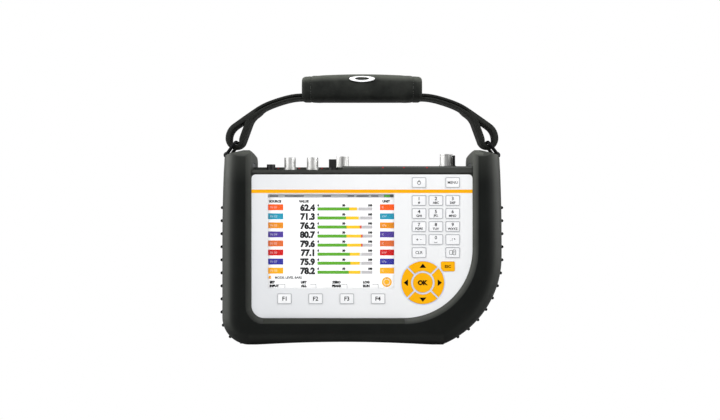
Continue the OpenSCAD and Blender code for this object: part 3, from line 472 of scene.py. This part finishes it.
# Millimetres from the middle of a key; the words of a key are text, size and boldness
legend = dict(front=-33.43, layer=0.01, dark=srgb(34, 36, 42), black=srgb(8, 7, 5), amberInk=srgb(52, 32, 0),
              digit=4.3, digitRise=1.75, letters=2.9, letterDrop=2.1, bold=0.1, zeroBold=0.06,
              edge=srgb(184, 186, 190), edgeWide=12.96, edgeTall=9.4, edgeThick=0.62,
              corner=1.1, innerCorner=0.6)
letterSets = {"1": "#", "2": "ABC", "3": "DEF", "4": "GHI", "5": "JKL", "6": "MNO", "7": "PQRS", "8": "TUV",
              "9": "WXYZ"}
keyWords = {"f1": ("F1", 5.2, 0.12), "f2": ("F2", 5.2, 0.12), "f3": ("F3", 5.2, 0.12),
            "f4": ("F4", 5.2, 0.12),
            "point": (". / *", 3.4, 0.05), "clear": ("CLR", 3.7, 0.06), "menu": ("MENU", 3.4, 0.06),
            "escape": ("ESC", 3.4, 0.12), "ok": ("OK", 5.5, 0.4)}
spaceMark = dict(half=1.3, post=0.35, low=-3.0, base=-2.6, high=-2.0)
signMark = dict(plusX=-1.6, plusSize=4.0, bold=0.08, minusFrom=0.9, minusTo=2.3, half=0.2)
powerMark = dict(drop=0.3, outer=1.75, inner=1.25, half=0.3, low=0.2, high=2.4)
noteMark = dict(sheets=[(-1.6, 0.0, 3.0, 4.0, 0.35), (1.5, 0.2, 2.8, 4.8, 0.4)], corner=0.6, innerCorner=0.4,
                lineFrom=0.8, lineTo=2.2, lines=[(0.8, 1.1), (-0.4, -0.1)])
arrowMark = dict(reach=15.3, tip=2.1, back=1.8, half=3.1)
arrowWays = {"right": (1, 0), "left": (-1, 0), "up": (0, 1), "down": (0, -1)}
keySpots = {key: [(a + b) / 2 / mm for a, b in zip(*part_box("key_" + key))] for key in keyNames}


def digitShapes(key, x, z, y, dark):
    return [words(key, x, z + legend["digitRise"], legend["digit"], y, dark, legend["bold"]),
            words(letterSets[key], x, z - legend["letterDrop"], legend["letters"], y, dark, legend["bold"])]


def zeroShapes(x, z, y, dark):
    # The figure over an open bracket
    m = spaceMark
    return [words("0", x, z + legend["digitRise"], legend["digit"], y, dark, legend["zeroBold"]),
            rect(x - m["half"], x + m["half"], z + m["low"], z + m["base"], y, dark),
            rect(x - m["half"], x - m["half"] + m["post"], z + m["base"], z + m["high"], y, dark),
            rect(x + m["half"] - m["post"], x + m["half"], z + m["base"], z + m["high"], y, dark)]


def signShapes(x, z, y, dark):
    m = signMark
    return [words("+", x + m["plusX"], z, m["plusSize"], y, dark, m["bold"]),
            rect(x + m["minusFrom"], x + m["minusTo"], z - m["half"], z + m["half"], y, dark)]


def powerShapes(x, z, y, dark):
    # A ring crossed at its top by a bar
    m = powerMark
    outer, inner = [oval(x, z - m["drop"], radius, radius) for radius in (m["outer"], m["inner"])]
    return [ringShape(outer, inner, y, dark),
            rect(x - m["half"], x + m["half"], z + m["low"], z + m["high"], y - legend["layer"], dark)]


def noteShapes(x, z, y, dark):
    # Two sheets side by side, the second with two lines
    m = noteMark
    shapes = [frameBox(x + dx, z + dz, wide, tall, thick, m["corner"], m["innerCorner"],
                       y - i * legend["layer"], dark)
              for i, (dx, dz, wide, tall, thick) in enumerate(m["sheets"])]
    return shapes + [rect(x + m["lineFrom"], x + m["lineTo"], z + low, z + high, y, dark)
                     for low, high in m["lines"]]


def arrowShapes(key, y):
    # A triangle that points away from the middle key
    way = np.array(arrowWays[key])
    side = np.array([-way[1], way[0]]) * arrowMark["half"]
    centre = np.array([keySpots["ok"][0], keySpots["ok"][2]]) + arrowMark["reach"] * way
    foot = centre - arrowMark["back"] * way
    return [polygon([centre + arrowMark["tip"] * way, foot + side, foot - side], y, legend["black"])]


markShapes = {"0": zeroShapes, "sign": signShapes, "power": powerShapes, "note": noteShapes}
for key, (x, _, z) in keySpots.items():
    y, dark = legend["front"], legend["dark"]
    if key in letterSets:
        shapes = digitShapes(key, x, z, y, dark)
    elif key in markShapes:
        shapes = markShapes[key](x, z, y, dark)
    elif key in keyWords:
        text, size, bold = keyWords[key]
        shapes = [words(text, x, z, size, y, legend["amberInk"] if key in amberKeys else dark, bold)]
    else:
        shapes = arrowShapes(key, y)
    if key not in amberKeys:
        shapes.append(frameBox(x, z, legend["edgeWide"], legend["edgeTall"], legend["edgeThick"],
                               legend["corner"], legend["innerCorner"], y + legend["layer"], legend["edge"]))
    printSheet("legend_" + key, shapes, ink, "key_" + key + "_cap")
print("legends done")

# Places on the screen in millimetres, X then Z
screen = dict(front=-30.36, layer=0.02, left=-85.6, right=29.3, small=2.9, black=srgb(20, 20, 22),
              soft=srgb(40, 40, 42), line=srgb(120, 122, 124))
status = dict(low=134.9, high=137.7, grey=srgb(190, 192, 194), markLow=135.7, markHigh=136.8,
              dark=srgb(78, 80, 84),
              marks=[(-83.8, -76.5), (-70.4, -53.0), (-36.0, -28.2), (-13.2, -7.2), (-5.0, 6.0), (8.5, 15.0)],
              cell=(20.0, 28.3, 135.1, 137.5), cellTone=srgb(96, 98, 100),
              charge=(20.4, 25.4, 135.4, 137.2), chargeTone=srgb(90, 190, 60))
heading = dict(words=[("SOURCE", -84.8), ("VALUE", -57.6), ("UNIT", 18.6)], z=131.4, bold=0.2)
channel = dict(first=126.0, pitch=8.25, half=2.7, chipEnd=-71.8, unitStart=16.3, nameX=-83.8, unitX=18.2,
               bold=0.06,
               chips=[(255, 90, 0), (30, 150, 180), (230, 140, 0), (75, 55, 150), (220, 105, 45), (205, 0, 0),
                      (45, 45, 155), (255, 175, 0)], pale=0.3, units=["K", "kW", "kPa", "K"],
               readings=["62.4", "71.3", "76.2", "80.7", "79.6", "77.1", "75.9", "78.2"],
               readingX=-49.6, readingDrop=0.3, readingSize=7.7, readingBold=0.5,
               readingTone=srgb(24, 24, 26))
bar = dict(left=-40.6, right=9.5, low=-2.95, high=-0.1, tick=1.6, hot=(2, 3, 4),
           greenEnds=[0.58, 0.52, 0.53, 0.53, 0.54, 0.59, 0.6, 0.57],
           yellowEnds=[0.72, 0.75, 0.77, 0.79, 0.79, 0.77, 0.77, 0.78],
           green=srgb(90, 166, 36), yellow=srgb(240, 194, 24), red=srgb(214, 84, 60),
           light=srgb(214, 216, 218), rest=srgb(190, 188, 190),
           scale=[("0", -39.9), ("50", -16.552), ("100", 7.5)], scaleRise=1.7, scaleSize=0.88, scaleBold=0.24)
mode = dict(chip=(-85.2, -83.0, 60.8, 63.4), tone=srgb(250, 170, 0), text="MODE: LEVEL BARS",
            x=-79.4, z=61.9, bold=0.1)
softLabel = dict(words=[("SET", "INPUT"), ("LIST", "ALL"), ("ZERO", "PEAKS"), ("LOG", "RUN")],
                 left=-84.2, pitch=28.35, upper=57.7, lower=54.3, bold=0.26,
                 lineFrom=8.6, lineTo=14.1, lineLow=55.6, lineHigh=56.0, post=0.4, postLow=52.4)
padIcon = dict(x=22.6, z=57.8, radius=4.5, tone=srgb(250, 178, 20), ring=(3.0, 2.4),
               ringTone=srgb(236, 224, 200),
               dot=(0.6, 0.5), dotRise=3.7, dotTone=srgb(120, 60, 20), dotPoints=12)


def statusShapes(y):
    # Grey bar with word-like dark marks and a battery
    near = y - screen["layer"]
    shapes = [rect(screen["left"], screen["right"], status["low"], status["high"], y, status["grey"])]
    shapes += [rect(low, high, status["markLow"], status["markHigh"], near, status["dark"])
               for low, high in status["marks"]]
    shapes.append(rect(*status["cell"], near, status["cellTone"]))
    shapes.append(rect(*status["charge"], near - screen["layer"], status["chargeTone"]))
    return shapes + [words(text, x, heading["z"], screen["small"], y, screen["black"], heading["bold"], False)
                     for text, x in heading["words"]]


def channelShapes(i, y):
    # One row: a name and a unit on coloured chips, a reading, and a level bar with its scale
    z = channel["first"] - i * channel["pitch"]
    low, high, near, small = z - channel["half"], z + channel["half"], y - screen["layer"], screen["small"]
    tone = srgb(*channel["chips"][i])
    pale = tuple(channel["pale"] + (1 - channel["pale"]) * v for v in tone[:3]) + (1.0,)
    unit = channel["units"][i % len(channel["units"])]
    shapes = [rect(screen["left"], channel["chipEnd"], low, high, y, tone),
              rect(channel["unitStart"], screen["right"], low, high, y, tone),
              words(f"IN {i + 1:02d}", channel["nameX"], z, small, near, pale, channel["bold"], False),
              words(unit, channel["unitX"], z, small, near, pale, channel["bold"], False),
              words(channel["readings"][i], channel["readingX"], z - channel["readingDrop"],
                    channel["readingSize"], y, channel["readingTone"], channel["readingBold"])]
    width = bar["right"] - bar["left"]
    greenEnd = bar["left"] + width * bar["greenEnds"][i]
    yellowEnd = bar["left"] + width * bar["yellowEnds"][i]
    tickEnd = yellowEnd + bar["tick"]
    tickTone = bar["red"] if i in bar["hot"] else bar["light"]
    parts = [(bar["left"], greenEnd, bar["green"]), (greenEnd, yellowEnd, bar["yellow"]),
             (yellowEnd, tickEnd, tickTone), (tickEnd, bar["right"], bar["rest"])]
    shapes += [rect(start, end, z + bar["low"], z + bar["high"], y, part) for start, end, part in parts]
    return shapes + [words(text, spot, z + bar["scaleRise"], small * bar["scaleSize"], y, screen["black"],
                           bar["scaleBold"]) for text, spot in bar["scale"]]


def softLabelShapes(i, y):
    # Two words above a soft key and a hooked line beside them
    m = softLabel
    left = m["left"] + i * m["pitch"]
    upper, lower = m["words"][i]
    return [words(upper, left, m["upper"], screen["small"], y, screen["black"], m["bold"], False),
            words(lower, left, m["lower"], screen["small"], y, screen["black"], m["bold"], False),
            rect(left + m["lineFrom"], left + m["lineTo"], m["lineLow"], m["lineHigh"], y, screen["line"]),
            rect(left + m["lineTo"] - m["post"], left + m["lineTo"], m["postLow"], m["lineLow"], y,
                 screen["line"])]


def padIconShapes(y):
    # A disc with a ring and two dots
    m = padIcon
    near = y - screen["layer"]
    outer, inner = [oval(m["x"], m["z"], radius, radius) for radius in m["ring"]]
    dots = [polygon(oval(m["x"], m["z"] + rise, *m["dot"], m["dotPoints"]), near, m["dotTone"])
            for rise in (-m["dotRise"], m["dotRise"])]
    return [polygon(oval(m["x"], m["z"], m["radius"], m["radius"]), y, m["tone"]),
            ringShape(outer, inner, near, m["ringTone"])] + dots


y = screen["front"]
shapes = statusShapes(y)
for i in range(len(channel["chips"])):
    shapes += channelShapes(i, y)
shapes.append(rect(*mode["chip"], y, mode["tone"]))
shapes.append(words(mode["text"], mode["x"], mode["z"], screen["small"], y, screen["soft"],
                    mode["bold"], False))
for i in range(len(softLabel["words"])):
    shapes += softLabelShapes(i, y)
shapes += padIconShapes(y)
printSheet("screen_graphics", shapes, litInk, "instrument")
print("screen done")


def revolve(name, profile, centre, made, body, count=40):
    # Profile of (radius, height) in millimetres turned about a vertical axis
    radius, height = np.asarray(profile, dtype=float).T
    angle = np.linspace(0, 2 * np.pi, count, endpoint=False)[:, None]
    x = centre[0] + radius * np.cos(angle)
    y = centre[1] + radius * np.sin(angle)
    z = centre[2] + np.tile(height, (count, 1))
    points = np.stack([x, y, z], axis=-1).reshape(-1, 3) * mm
    newObject(name, points, gridFaces(count, len(profile), True, False), made, body)


insert = dict(bores=dict(sensor_socket_1=4.0, sensor_socket_2=4.0, bus_socket_left=4.6, bus_socket_right=4.6),
              depth=8.0, height=2.2, lift=0.02, gap=0.05, pole=0.01, pins=5, ring=2.2, pin=0.5, pinHeight=3.4,
              pinPoint=0.3, pinSink=0.1, pinSides=12)
for name, bore in insert["bores"].items():
    low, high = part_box(name)
    floor = high[2] / mm - insert["depth"]
    centre = ((low[0] + high[0]) / 2 / mm, (low[1] + high[1]) / 2 / mm, floor)
    rim = bore - insert["gap"]
    profile = [(insert["pole"], insert["lift"]), (rim, insert["lift"]), (rim, insert["height"]),
               (insert["pole"], insert["height"])]
    revolve(name + "_insert", profile, centre, blackPlastic, "instrument")
    for i in range(insert["pins"]):
        turn = 2 * math.pi * i / insert["pins"]
        spot = (centre[0] + insert["ring"] * math.cos(turn), centre[1] + insert["ring"] * math.sin(turn),
                floor + insert["height"])
        revolve(f"{name}_pin_{i}", [(insert["pin"], -insert["pinSink"]), (insert["pin"], insert["pinHeight"]),
                                    (insert["pole"], insert["pinHeight"] + insert["pinPoint"])],
                spot, gold, "instrument", insert["pinSides"])

# Red dots on the panel's front edge and on the step behind the ledge; X from columns of the photograph
panelMark = dict(pixel=0.9094, middle=362, red=srgb(190, 40, 50), points=16,
                 rows=[dict(pixels=(383, 404, 427), z=162.1, y=-32.05, size=(0.8, 0.5)),
                       dict(pixels=(276, 297.5, 320.8), z=162.6, y=-3.05, size=(0.8, 0.4))])
marks = []
for row in panelMark["rows"]:
    for pixel in row["pixels"]:
        x = (pixel - panelMark["middle"]) * panelMark["pixel"]
        dot = oval(x, row["z"], *row["size"], panelMark["points"])
        marks.append(polygon(dot, row["y"], panelMark["red"]))
printSheet("panel_marks", marks, ink, "instrument")
print("sockets done")

# Angles in degrees; plies and covers are sewn-on layers: start and end along the strap, thickness
strap = dict(thick=2.7, width=25.0, top=232.1, gap=0.3, bendX=-57.7, bend=70.0, fall=35.6, run=26.35,
             turn=16.8, loop=8.5, innerTurn=18.0, innerSlope=70.0, steps=900, around=28, square=0.28,
             plies=[(104.0, 146.0, 2.2), (160.0, 186.0, 2.0)], covers=[(147.0, 196.0, 1.4)], soft=1.3,
             sag=1.3, sagX=79.0, sagWidth=16.0)


def arc(centre, radius, start, end, count=80):
    angle = np.radians(np.linspace(start, end, count))
    return centre + radius * np.stack([np.cos(angle), np.sin(angle)], axis=1)


def strapPath():
    # Middle line of the whole strap in X and Z: out along the upper layer, round the loop, back along
    # the lower one
    t = strap["thick"]
    fall, slope = math.radians(strap["fall"]), math.radians(strap["innerSlope"])
    total = 2 * t + strap["gap"]
    bendC = np.array([strap["bendX"], strap["top"] - strap["bend"]])
    fallWay = np.array([-math.cos(fall), -math.sin(fall)])
    fallSide = np.array([math.sin(fall), -math.cos(fall)])
    runEnd = bendC - strap["bend"] * fallSide + strap["run"] * fallWay
    turnC = runEnd + strap["turn"] * fallSide
    loopC = turnC - [strap["turn"] - strap["loop"], 0]
    under = strap["bend"] - total
    loopEnd = loopC + strap["loop"] * np.array([math.sin(slope), -math.cos(slope)])
    innerWay = np.array([math.cos(slope), math.sin(slope)])
    # The inner layer leaves the loop straight, until its own turn brings it to the lower layer
    reach = (bendC - under * fallSide - loopEnd - strap["innerTurn"]
             * np.array([math.sin(slope) - math.sin(fall), math.cos(fall) - math.cos(slope)]))
    cross = innerWay[0] * -fallWay[1] - innerWay[1] * -fallWay[0]
    innerRun = (reach[0] * -fallWay[1] - reach[1] * -fallWay[0]) / cross
    turnStart = loopEnd + innerRun * innerWay
    innerC = turnStart + strap["innerTurn"] * np.array([math.sin(slope), -math.cos(slope)])
    upper = strap["top"] - t / 2
    lower = strap["top"] - total + t / 2
    fallEnd = 90 + strap["fall"]
    left = np.concatenate([
        [[0.0, upper]],
        arc(bendC, strap["bend"] - t / 2, 90, fallEnd),
        arc(turnC, strap["turn"] - t / 2, fallEnd, 180),
        arc(loopC, strap["loop"] - t / 2, 180, 270 + strap["innerSlope"]),
        arc(innerC, strap["innerTurn"] + t / 2, 90 + strap["innerSlope"], fallEnd),
        arc(bendC, under + t / 2, fallEnd, 90),
        [[0.0, lower]]])
    right = left[::-1] * [-1, 1]
    return np.concatenate([left, right[1:-1]])


def squared(wave, square, half):
    # A sine or cosine flattened towards a square wave
    return np.sign(wave) * np.abs(wave) ** square * half


def strapSurface():
    # Rounded band section carried along the closed middle line; a second ply thickens it at each loop,
    # and the middle of each side sags a little below the drawn line
    path = strapPath()
    closed = np.vstack([path, path[:1]])
    step = np.hypot(*np.diff(closed, axis=0).T)
    closed = closed[np.concatenate([[True], step > 1e-6])]
    along = np.concatenate([[0], np.cumsum(np.hypot(*np.diff(closed, axis=0).T))])
    s = np.linspace(0, along[-1], strap["steps"], endpoint=False)
    x, z = np.interp(s, along, closed[:, 0]), np.interp(s, along, closed[:, 1])
    dx = np.roll(x, -1) - np.roll(x, 1)
    dz = np.roll(z, -1) - np.roll(z, 1)
    size = np.hypot(dx, dz)
    angle = np.linspace(0, 2 * np.pi, strap["around"], endpoint=False)
    across = squared(np.cos(angle), strap["square"], strap["width"] / 2)
    out = squared(np.sin(angle), strap["square"], strap["thick"] / 2)
    place = np.minimum(s, along[-1] - s)

    def thicker(layers):
        # Each layer rises and falls softly at its two ends
        soft = strap["soft"]
        return sum(thick / (1 + np.exp((start - place) / soft)) / (1 + np.exp((place - end) / soft))
                   for start, end, thick in layers)[:, None]

    inside = (np.sin(angle) > 0)[None, :]
    offset = out[None, :] + thicker(strap["plies"]) * inside - thicker(strap["covers"]) * ~inside
    z = z - strap["sag"] * np.exp(-((np.abs(x) - strap["sagX"]) / strap["sagWidth"]) ** 2)
    width = np.tile(across, (len(s), 1))
    length = np.tile(s[:, None], (1, len(angle)))
    points = np.stack([x[:, None] - (dz / size)[:, None] * offset, width,
                       z[:, None] + (dx / size)[:, None] * offset], axis=-1)
    return points.reshape(-1, 3) * mm, length.ravel(), width.ravel()


weave = dict(ribs=3.6, picks=5.2, slant=2.4, fuzz=900.0, fuzzTone=0.9, heightTone=0.25,
             toneRange=(0.1, 0.9, 0.0, 1.0), dark=srgb(14, 16, 13), light=srgb(36, 38, 34),
             rough=(0.3, 0.7, 0.6, 0.8), fuzzHeight=0.6, strength=0.7, depth=0.00025, shine=0.25)


def weaveLook(place):
    # Twill ribs along the strap crossed by fine slanted picks, under a little fuzz
    spot = place.make("Attribute", {"attribute_name": "weave"}, None, "Vector")
    u, v = spot.part(0), spot.part(1)
    height = (v * weave["ribs"]).sine() * 0.5 + (u * weave["picks"] + v * weave["slant"]).sine() * 0.5
    fuzz = place.noise(weave["fuzz"])
    tone = (height * weave["heightTone"] + fuzz * weave["fuzzTone"]).ramp(*weave["toneRange"])
    return {"Base Color": tone.mix(weave["dark"], weave["light"]), "Roughness": fuzz.ramp(*weave["rough"]),
            "Normal": bump(place, height + fuzz * weave["fuzzHeight"], weave["strength"], weave["depth"])}


webbingCloth = material("webbingWeave", weaveLook, {"Specular IOR Level": weave["shine"]})
points, length, width = strapSurface()
webbing = newObject("webbing", points, gridFaces(strap["steps"], strap["around"], True, True), webbingCloth,
                    "carry_handle")
layer = webbing.data.attributes.new("weave", "FLOAT_VECTOR", "POINT")
layer.data.foreach_set("vector", np.stack([length, width, 0 * length], axis=1).astype(np.float32).ravel())
smooth(webbing)
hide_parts("strap_webbing")
print("webbing done")

grip = dict(length=111.4, bottom=224.5, height=25.8, depth=36.0, lift=0.1, crown=2.3, square=0.62,
            rows=170, around=88, hem=8.5, hemInset=0.2, hemSoft=0.8, groove=0.55, grooveWidth=0.7,
            rim=0.35, rimIn=1.6, rimWidth=0.5, endRound=2.8, endShare=0.8, caps=(0.3, 0.85),
            wrinkle=0.12, wrinkleRate=0.55, wrinkleSwing=3.0, wrinkleIn=5.0, wrinkleWidth=6.0)


def hump(distance, width):
    return np.exp(-(distance / width) ** 2)


def gripSurface(x, turn, grow=0.0):
    # Rounded sleeve section, crowned along its length, drawn in at the hems and along two stitched grooves
    half = grip["length"] / 2
    away = np.abs(x)
    top = grip["bottom"] + grip["height"] - grip["crown"] * np.clip(away / half, 0, 1) ** 2
    hemEdge = half - grip["hem"]
    groove = (grip["groove"] * hump(away - hemEdge, grip["grooveWidth"])
              + grip["rim"] * hump(away - half + grip["rimIn"], grip["rimWidth"]))
    hem = grip["hemInset"] / (1 + np.exp(-(away - hemEdge) / grip["hemSoft"]))
    end = np.clip((away - half + grip["endRound"]) / grip["endRound"], 0, 1)
    inset = groove + hem + grip["endShare"] * grip["endRound"] * (1 - np.sqrt(1 - end ** 2)) - grow
    low = grip["bottom"] + grip["lift"]
    middle, tall = (top + low) / 2, (top - low) / 2 - inset
    y = -squared(np.cos(turn), grip["square"], grip["depth"] / 2 - inset)
    z = middle + squared(np.sin(turn), grip["square"], tall)
    wave = np.sin(x * grip["wrinkleRate"] + grip["wrinkleSwing"] * np.sin(turn * 2))
    wrinkle = grip["wrinkle"] * wave * hump(away - hemEdge + grip["wrinkleIn"], grip["wrinkleWidth"])
    return np.stack([x + 0 * turn, y, z + wrinkle], axis=-1)


def gripMesh():
    # The sleeve with two smaller rings and a closing face at each end
    along = np.linspace(-grip["length"] / 2, grip["length"] / 2, grip["rows"])
    around = np.linspace(0, 2 * np.pi, grip["around"], endpoint=False)
    sleeve = gripSurface(*np.meshgrid(along, around, indexing="ij"))
    middles = sleeve.mean(axis=1, keepdims=True)
    shrink = np.array(grip["caps"])[:, None, None]
    startCap = middles[0] + (sleeve[0] - middles[0]) * shrink
    endCap = middles[-1] + (sleeve[-1] - middles[-1]) * shrink[::-1]
    grid = np.concatenate([startCap, sleeve, endCap])
    faces = gridFaces(len(grid), grip["around"], False, True).tolist()
    faces.append(list(range(grip["around"])))
    faces.append([(len(grid) - 1) * grip["around"] + i for i in range(grip["around"])][::-1])
    return grid.reshape(-1, 3) * mm, faces


# The pale colour serves the random patches and the painted highlight on top of the grip
gripFinish = dict(pebble=1400.0, pebbleDetail=3.0, thread=5200.0, threadHeight=0.3,
                  upward=(0.2, 0.85, 0.0, 0.95), patches=45.0, patchDetail=5.0,
                  patchRange=(0.35, 0.75, 0.0, 0.25),
                  dark=srgb(14, 17, 14), paintedHighlight=srgb(84, 87, 80), rough=(0.3, 0.7, 0.6, 0.78),
                  strength=0.6, depth=0.0002, shine=0.22)


def gripLook(place):
    # Coated cloth: fine pebbled grain over a faint weave, with random pale patches and a painted highlight on
    # top
    m = gripFinish
    pebble = place.noise(m["pebble"], m["pebbleDetail"])
    threads = (place.part(0) * m["thread"]).sine() * (place.part(2) * m["thread"]).sine()
    # Painted highlight: cloth that faces upwards is paler
    upward = facing(place).part(2).ramp(*m["upward"])
    paintedHighlight = (place.noise(m["patches"], m["patchDetail"]).ramp(*m["patchRange"]) + upward).clamp()
    return {"Base Color": paintedHighlight.mix(m["dark"], m["paintedHighlight"]), "Roughness": pebble.ramp(*m["rough"]),
            "Normal": bump(place, pebble + threads * m["threadHeight"], m["strength"], m["depth"])}


gripCloth = material("gripCloth", gripLook, {"Specular IOR Level": gripFinish["shine"]})
gripPoints, gripFaces = gripMesh()
gripPad = newObject("grip_pad", gripPoints, gripFaces, gripCloth, "carry_handle")
smooth(gripPad)
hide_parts("hand_grip")

stuffing = dict(frames=10, pressure=1.2, quality=6, mass=0.4, stretch=60, bend=6, gravity=0.0, reach=0.0004)


def settle(obj, rest):
    # The stuffing presses the cover outwards while its hems are held; no point moves further than the reach
    hemmed = np.abs(rest[:, 0]) > (grip["length"] / 2 - grip["hem"]) * mm
    group = obj.vertex_groups.new(name="held")
    group.add(np.nonzero(hemmed)[0].tolist(), 1.0, "REPLACE")
    cloth = obj.modifiers.new("cover", "CLOTH")
    cloth.settings.quality = stuffing["quality"]
    cloth.settings.mass = stuffing["mass"]
    cloth.settings.tension_stiffness = stuffing["stretch"]
    cloth.settings.compression_stiffness = stuffing["stretch"]
    cloth.settings.bending_stiffness = stuffing["bend"]
    cloth.settings.use_pressure = True
    cloth.settings.uniform_pressure_force = stuffing["pressure"]
    cloth.settings.vertex_group_mass = "held"
    cloth.settings.effector_weights.gravity = stuffing["gravity"]
    for step in range(1, stuffing["frames"] + 1):
        bpy.context.scene.frame_set(step)
    settled = meshPoints(obj.evaluated_get(bpy.context.evaluated_depsgraph_get()).to_mesh())
    obj.modifiers.remove(cloth)
    bpy.context.scene.frame_set(1)
    move = np.clip(settled - rest, -stuffing["reach"], stuffing["reach"])
    obj.data.vertices.foreach_set("co", (rest + move).astype(np.float32).ravel())
    obj.data.update()


settle(gripPad, gripPoints)
print("grip done")

badge = dict(x=0.0, turn=math.radians(21), radiusX=11.8, radiusTurn=0.22, inner=0.55, grow=1.25,
             around=64, across=6)


def badgeSurface():
    # Flat ring laid on the sleeve: an oval in length and turn, between two shares of its radius
    around = np.linspace(0, 2 * np.pi, badge["around"], endpoint=False)
    u, share = np.meshgrid(around, np.linspace(badge["inner"], 1.0, badge["across"]), indexing="ij")
    x = badge["x"] + badge["radiusX"] * share * np.cos(u)
    turn = badge["turn"] + badge["radiusTurn"] * share * np.sin(u)
    return gripSurface(x, turn, badge["grow"]).reshape(-1, 3) * mm


badgeFaces = gridFaces(badge["around"], badge["across"], True, False)
smooth(newObject("grip_badge", badgeSurface(), badgeFaces, keyWhite, "carry_handle"))

stitch = dict(radius=0.28, count=40, share=0.62, inset=0.2, sink=0.1, lift=1.1, rows=7, around=8)
thread = grained("hemThread", srgb(46, 48, 45), srgb(64, 66, 62),
                 rough=(0.6, 0.75), scale=1500.0, depth=0.00005)


def stitchSurface(x):
    # Row of short threads round the sleeve, each a tube that swells towards its middle
    count, rows, around = stitch["count"], stitch["rows"], stitch["around"]
    spots = np.linspace(0, 2 * np.pi, count, endpoint=False)
    u, v = np.meshgrid(np.linspace(-0.5, 0.5, rows), np.linspace(0, 2 * np.pi, around, endpoint=False),
                       indexing="ij")
    turn = spots[:, None, None] + u[None] * (2 * np.pi / count) * stitch["share"]
    spread = np.full(turn.shape, x)
    base = gripSurface(spread, turn, stitch["sink"])
    out = gripSurface(spread, turn, stitch["lift"]) - base
    out = out / np.linalg.norm(out, axis=-1, keepdims=True)
    swell = stitch["radius"] * np.sqrt(np.clip(1 - (2 * u) ** 2, 0, 1))[None]
    points = base + out * (swell * np.cos(v)[None])[..., None]
    points[..., 0] += swell * np.sin(v)[None]
    starts = (np.arange(count) * rows * around)[:, None, None]
    return points.reshape(-1, 3) * mm, (gridFaces(rows, around, False, True)[None] + starts).reshape(-1, 4)


hemLine = grip["length"] / 2 - grip["hem"] + stitch["inset"]
for name, x in [("hem_stitches_left", -hemLine), ("hem_stitches_right", hemLine)]:
    points, faces = stitchSurface(x)
    smooth(newObject(name, points, faces, thread, "carry_handle"))
print("badge and stitches done")


def grey(level):
    return (level, level, level, 1.0)


# Lights: place, aim, size, power
studio = dict(sides=grey(0.42), ahead=grey(0.08), aheadRange=(0.25, 0.9, 0.0, 1.0),
              white=grey(1.0), floor=grey(0.5), floorReach=6.0, floorDrop=0.0004,
              lights=dict(keyLight=((-1.2, -0.8, 0.5), (0, 0, 0.1), 0.9, 8.6),
                          fillLight=((1.2, -0.8, 0.5), (0, 0, 0.1), 0.9, 7.0),
                          topLight=((0.0, -0.65, 1.3), (0, 0, 0.12), 0.8, 12.0),
                          leftRim=((-1.3, 0.1, 0.4), (0, 0, 0.1), 0.6, 10.0),
                          rightRim=((1.3, 0.1, 0.4), (0, 0, 0.1), 0.6, 8.0)))


def cameraRay(tree):
    return Tone(tree, tree.nodes.new("ShaderNodeLightPath").outputs["Is Camera Ray"])


def studioWorld():
    # White to the eye; the light it gives is greyer, and dim in front
    world = bpy.data.worlds.new("studio")
    bpy.context.scene.world = world
    world.use_nodes = True
    tree = world.node_tree
    way = Tone(tree, tree.nodes.new("ShaderNodeTexCoord").outputs["Generated"])
    ahead = (way.part(1) * -1.0).ramp(*studio["aheadRange"])
    tone = cameraRay(tree).mix(ahead.mix(studio["sides"], studio["ahead"]), studio["white"])
    tree.links.new(tone.socket, tree.nodes["Background"].inputs["Color"])
    tree.nodes["Background"].inputs["Strength"].default_value = 1.0


def studioFloor():
    # Plain floor just below the feet, white to the eye
    reach = studio["floorReach"]
    corners = [(-reach, -reach), (reach, -reach), (reach, reach), (-reach, reach)]
    mesh = bpy.data.meshes.new("floor")
    mesh.from_pydata([(x, y, -studio["floorDrop"]) for x, y in corners], [], [(0, 1, 2, 3)])
    floor = bpy.data.objects.new("floor", mesh)
    bpy.context.collection.objects.link(floor)
    made = bpy.data.materials.new("floorWhite")
    made.use_nodes = True
    tree = made.node_tree
    shader = tree.nodes["Principled BSDF"]
    shader.inputs["Base Color"].default_value = studio["floor"]
    seen = cameraRay(tree)
    glow = seen.make("Emission", None, {"Color": studio["white"], "Strength": 1.0})
    both = seen.make("MixShader", None, {0: seen, 1: Tone(tree, shader.outputs[0]), 2: glow})
    tree.links.new(both.socket, tree.nodes["Material Output"].inputs["Surface"])
    mesh.materials.append(made)


def studioLight(name, place, aim, size, power):
    data = bpy.data.lights.new(name, "AREA")
    data.energy = power
    data.size = size
    light = bpy.data.objects.new(name, data)
    bpy.context.collection.objects.link(light)
    way = np.array(aim) - np.array(place)
    light.location = place
    light.rotation_euler = (math.atan2(math.hypot(way[0], way[1]), -way[2]), 0.0, math.atan2(-way[0], way[1]))


studioWorld()
studioFloor()
for name, values in studio["lights"].items():
    studioLight(name, *values)

shot = dict(place=(-0.00182, -1.033, 0.1235), turn=(math.pi / 2, 0.0, 0.0), lens=54.98, sensor=36.0)
camera = bpy.data.cameras.new("camera")
camera.lens = shot["lens"]
camera.sensor_width = shot["sensor"]
eye = bpy.data.objects.new("camera", camera)
bpy.context.collection.objects.link(eye)
eye.location = shot["place"]
eye.rotation_euler = shot["turn"]
bpy.context.scene.camera = eye
bpy.context.scene.view_settings.view_transform = "Standard"
print("stage done")
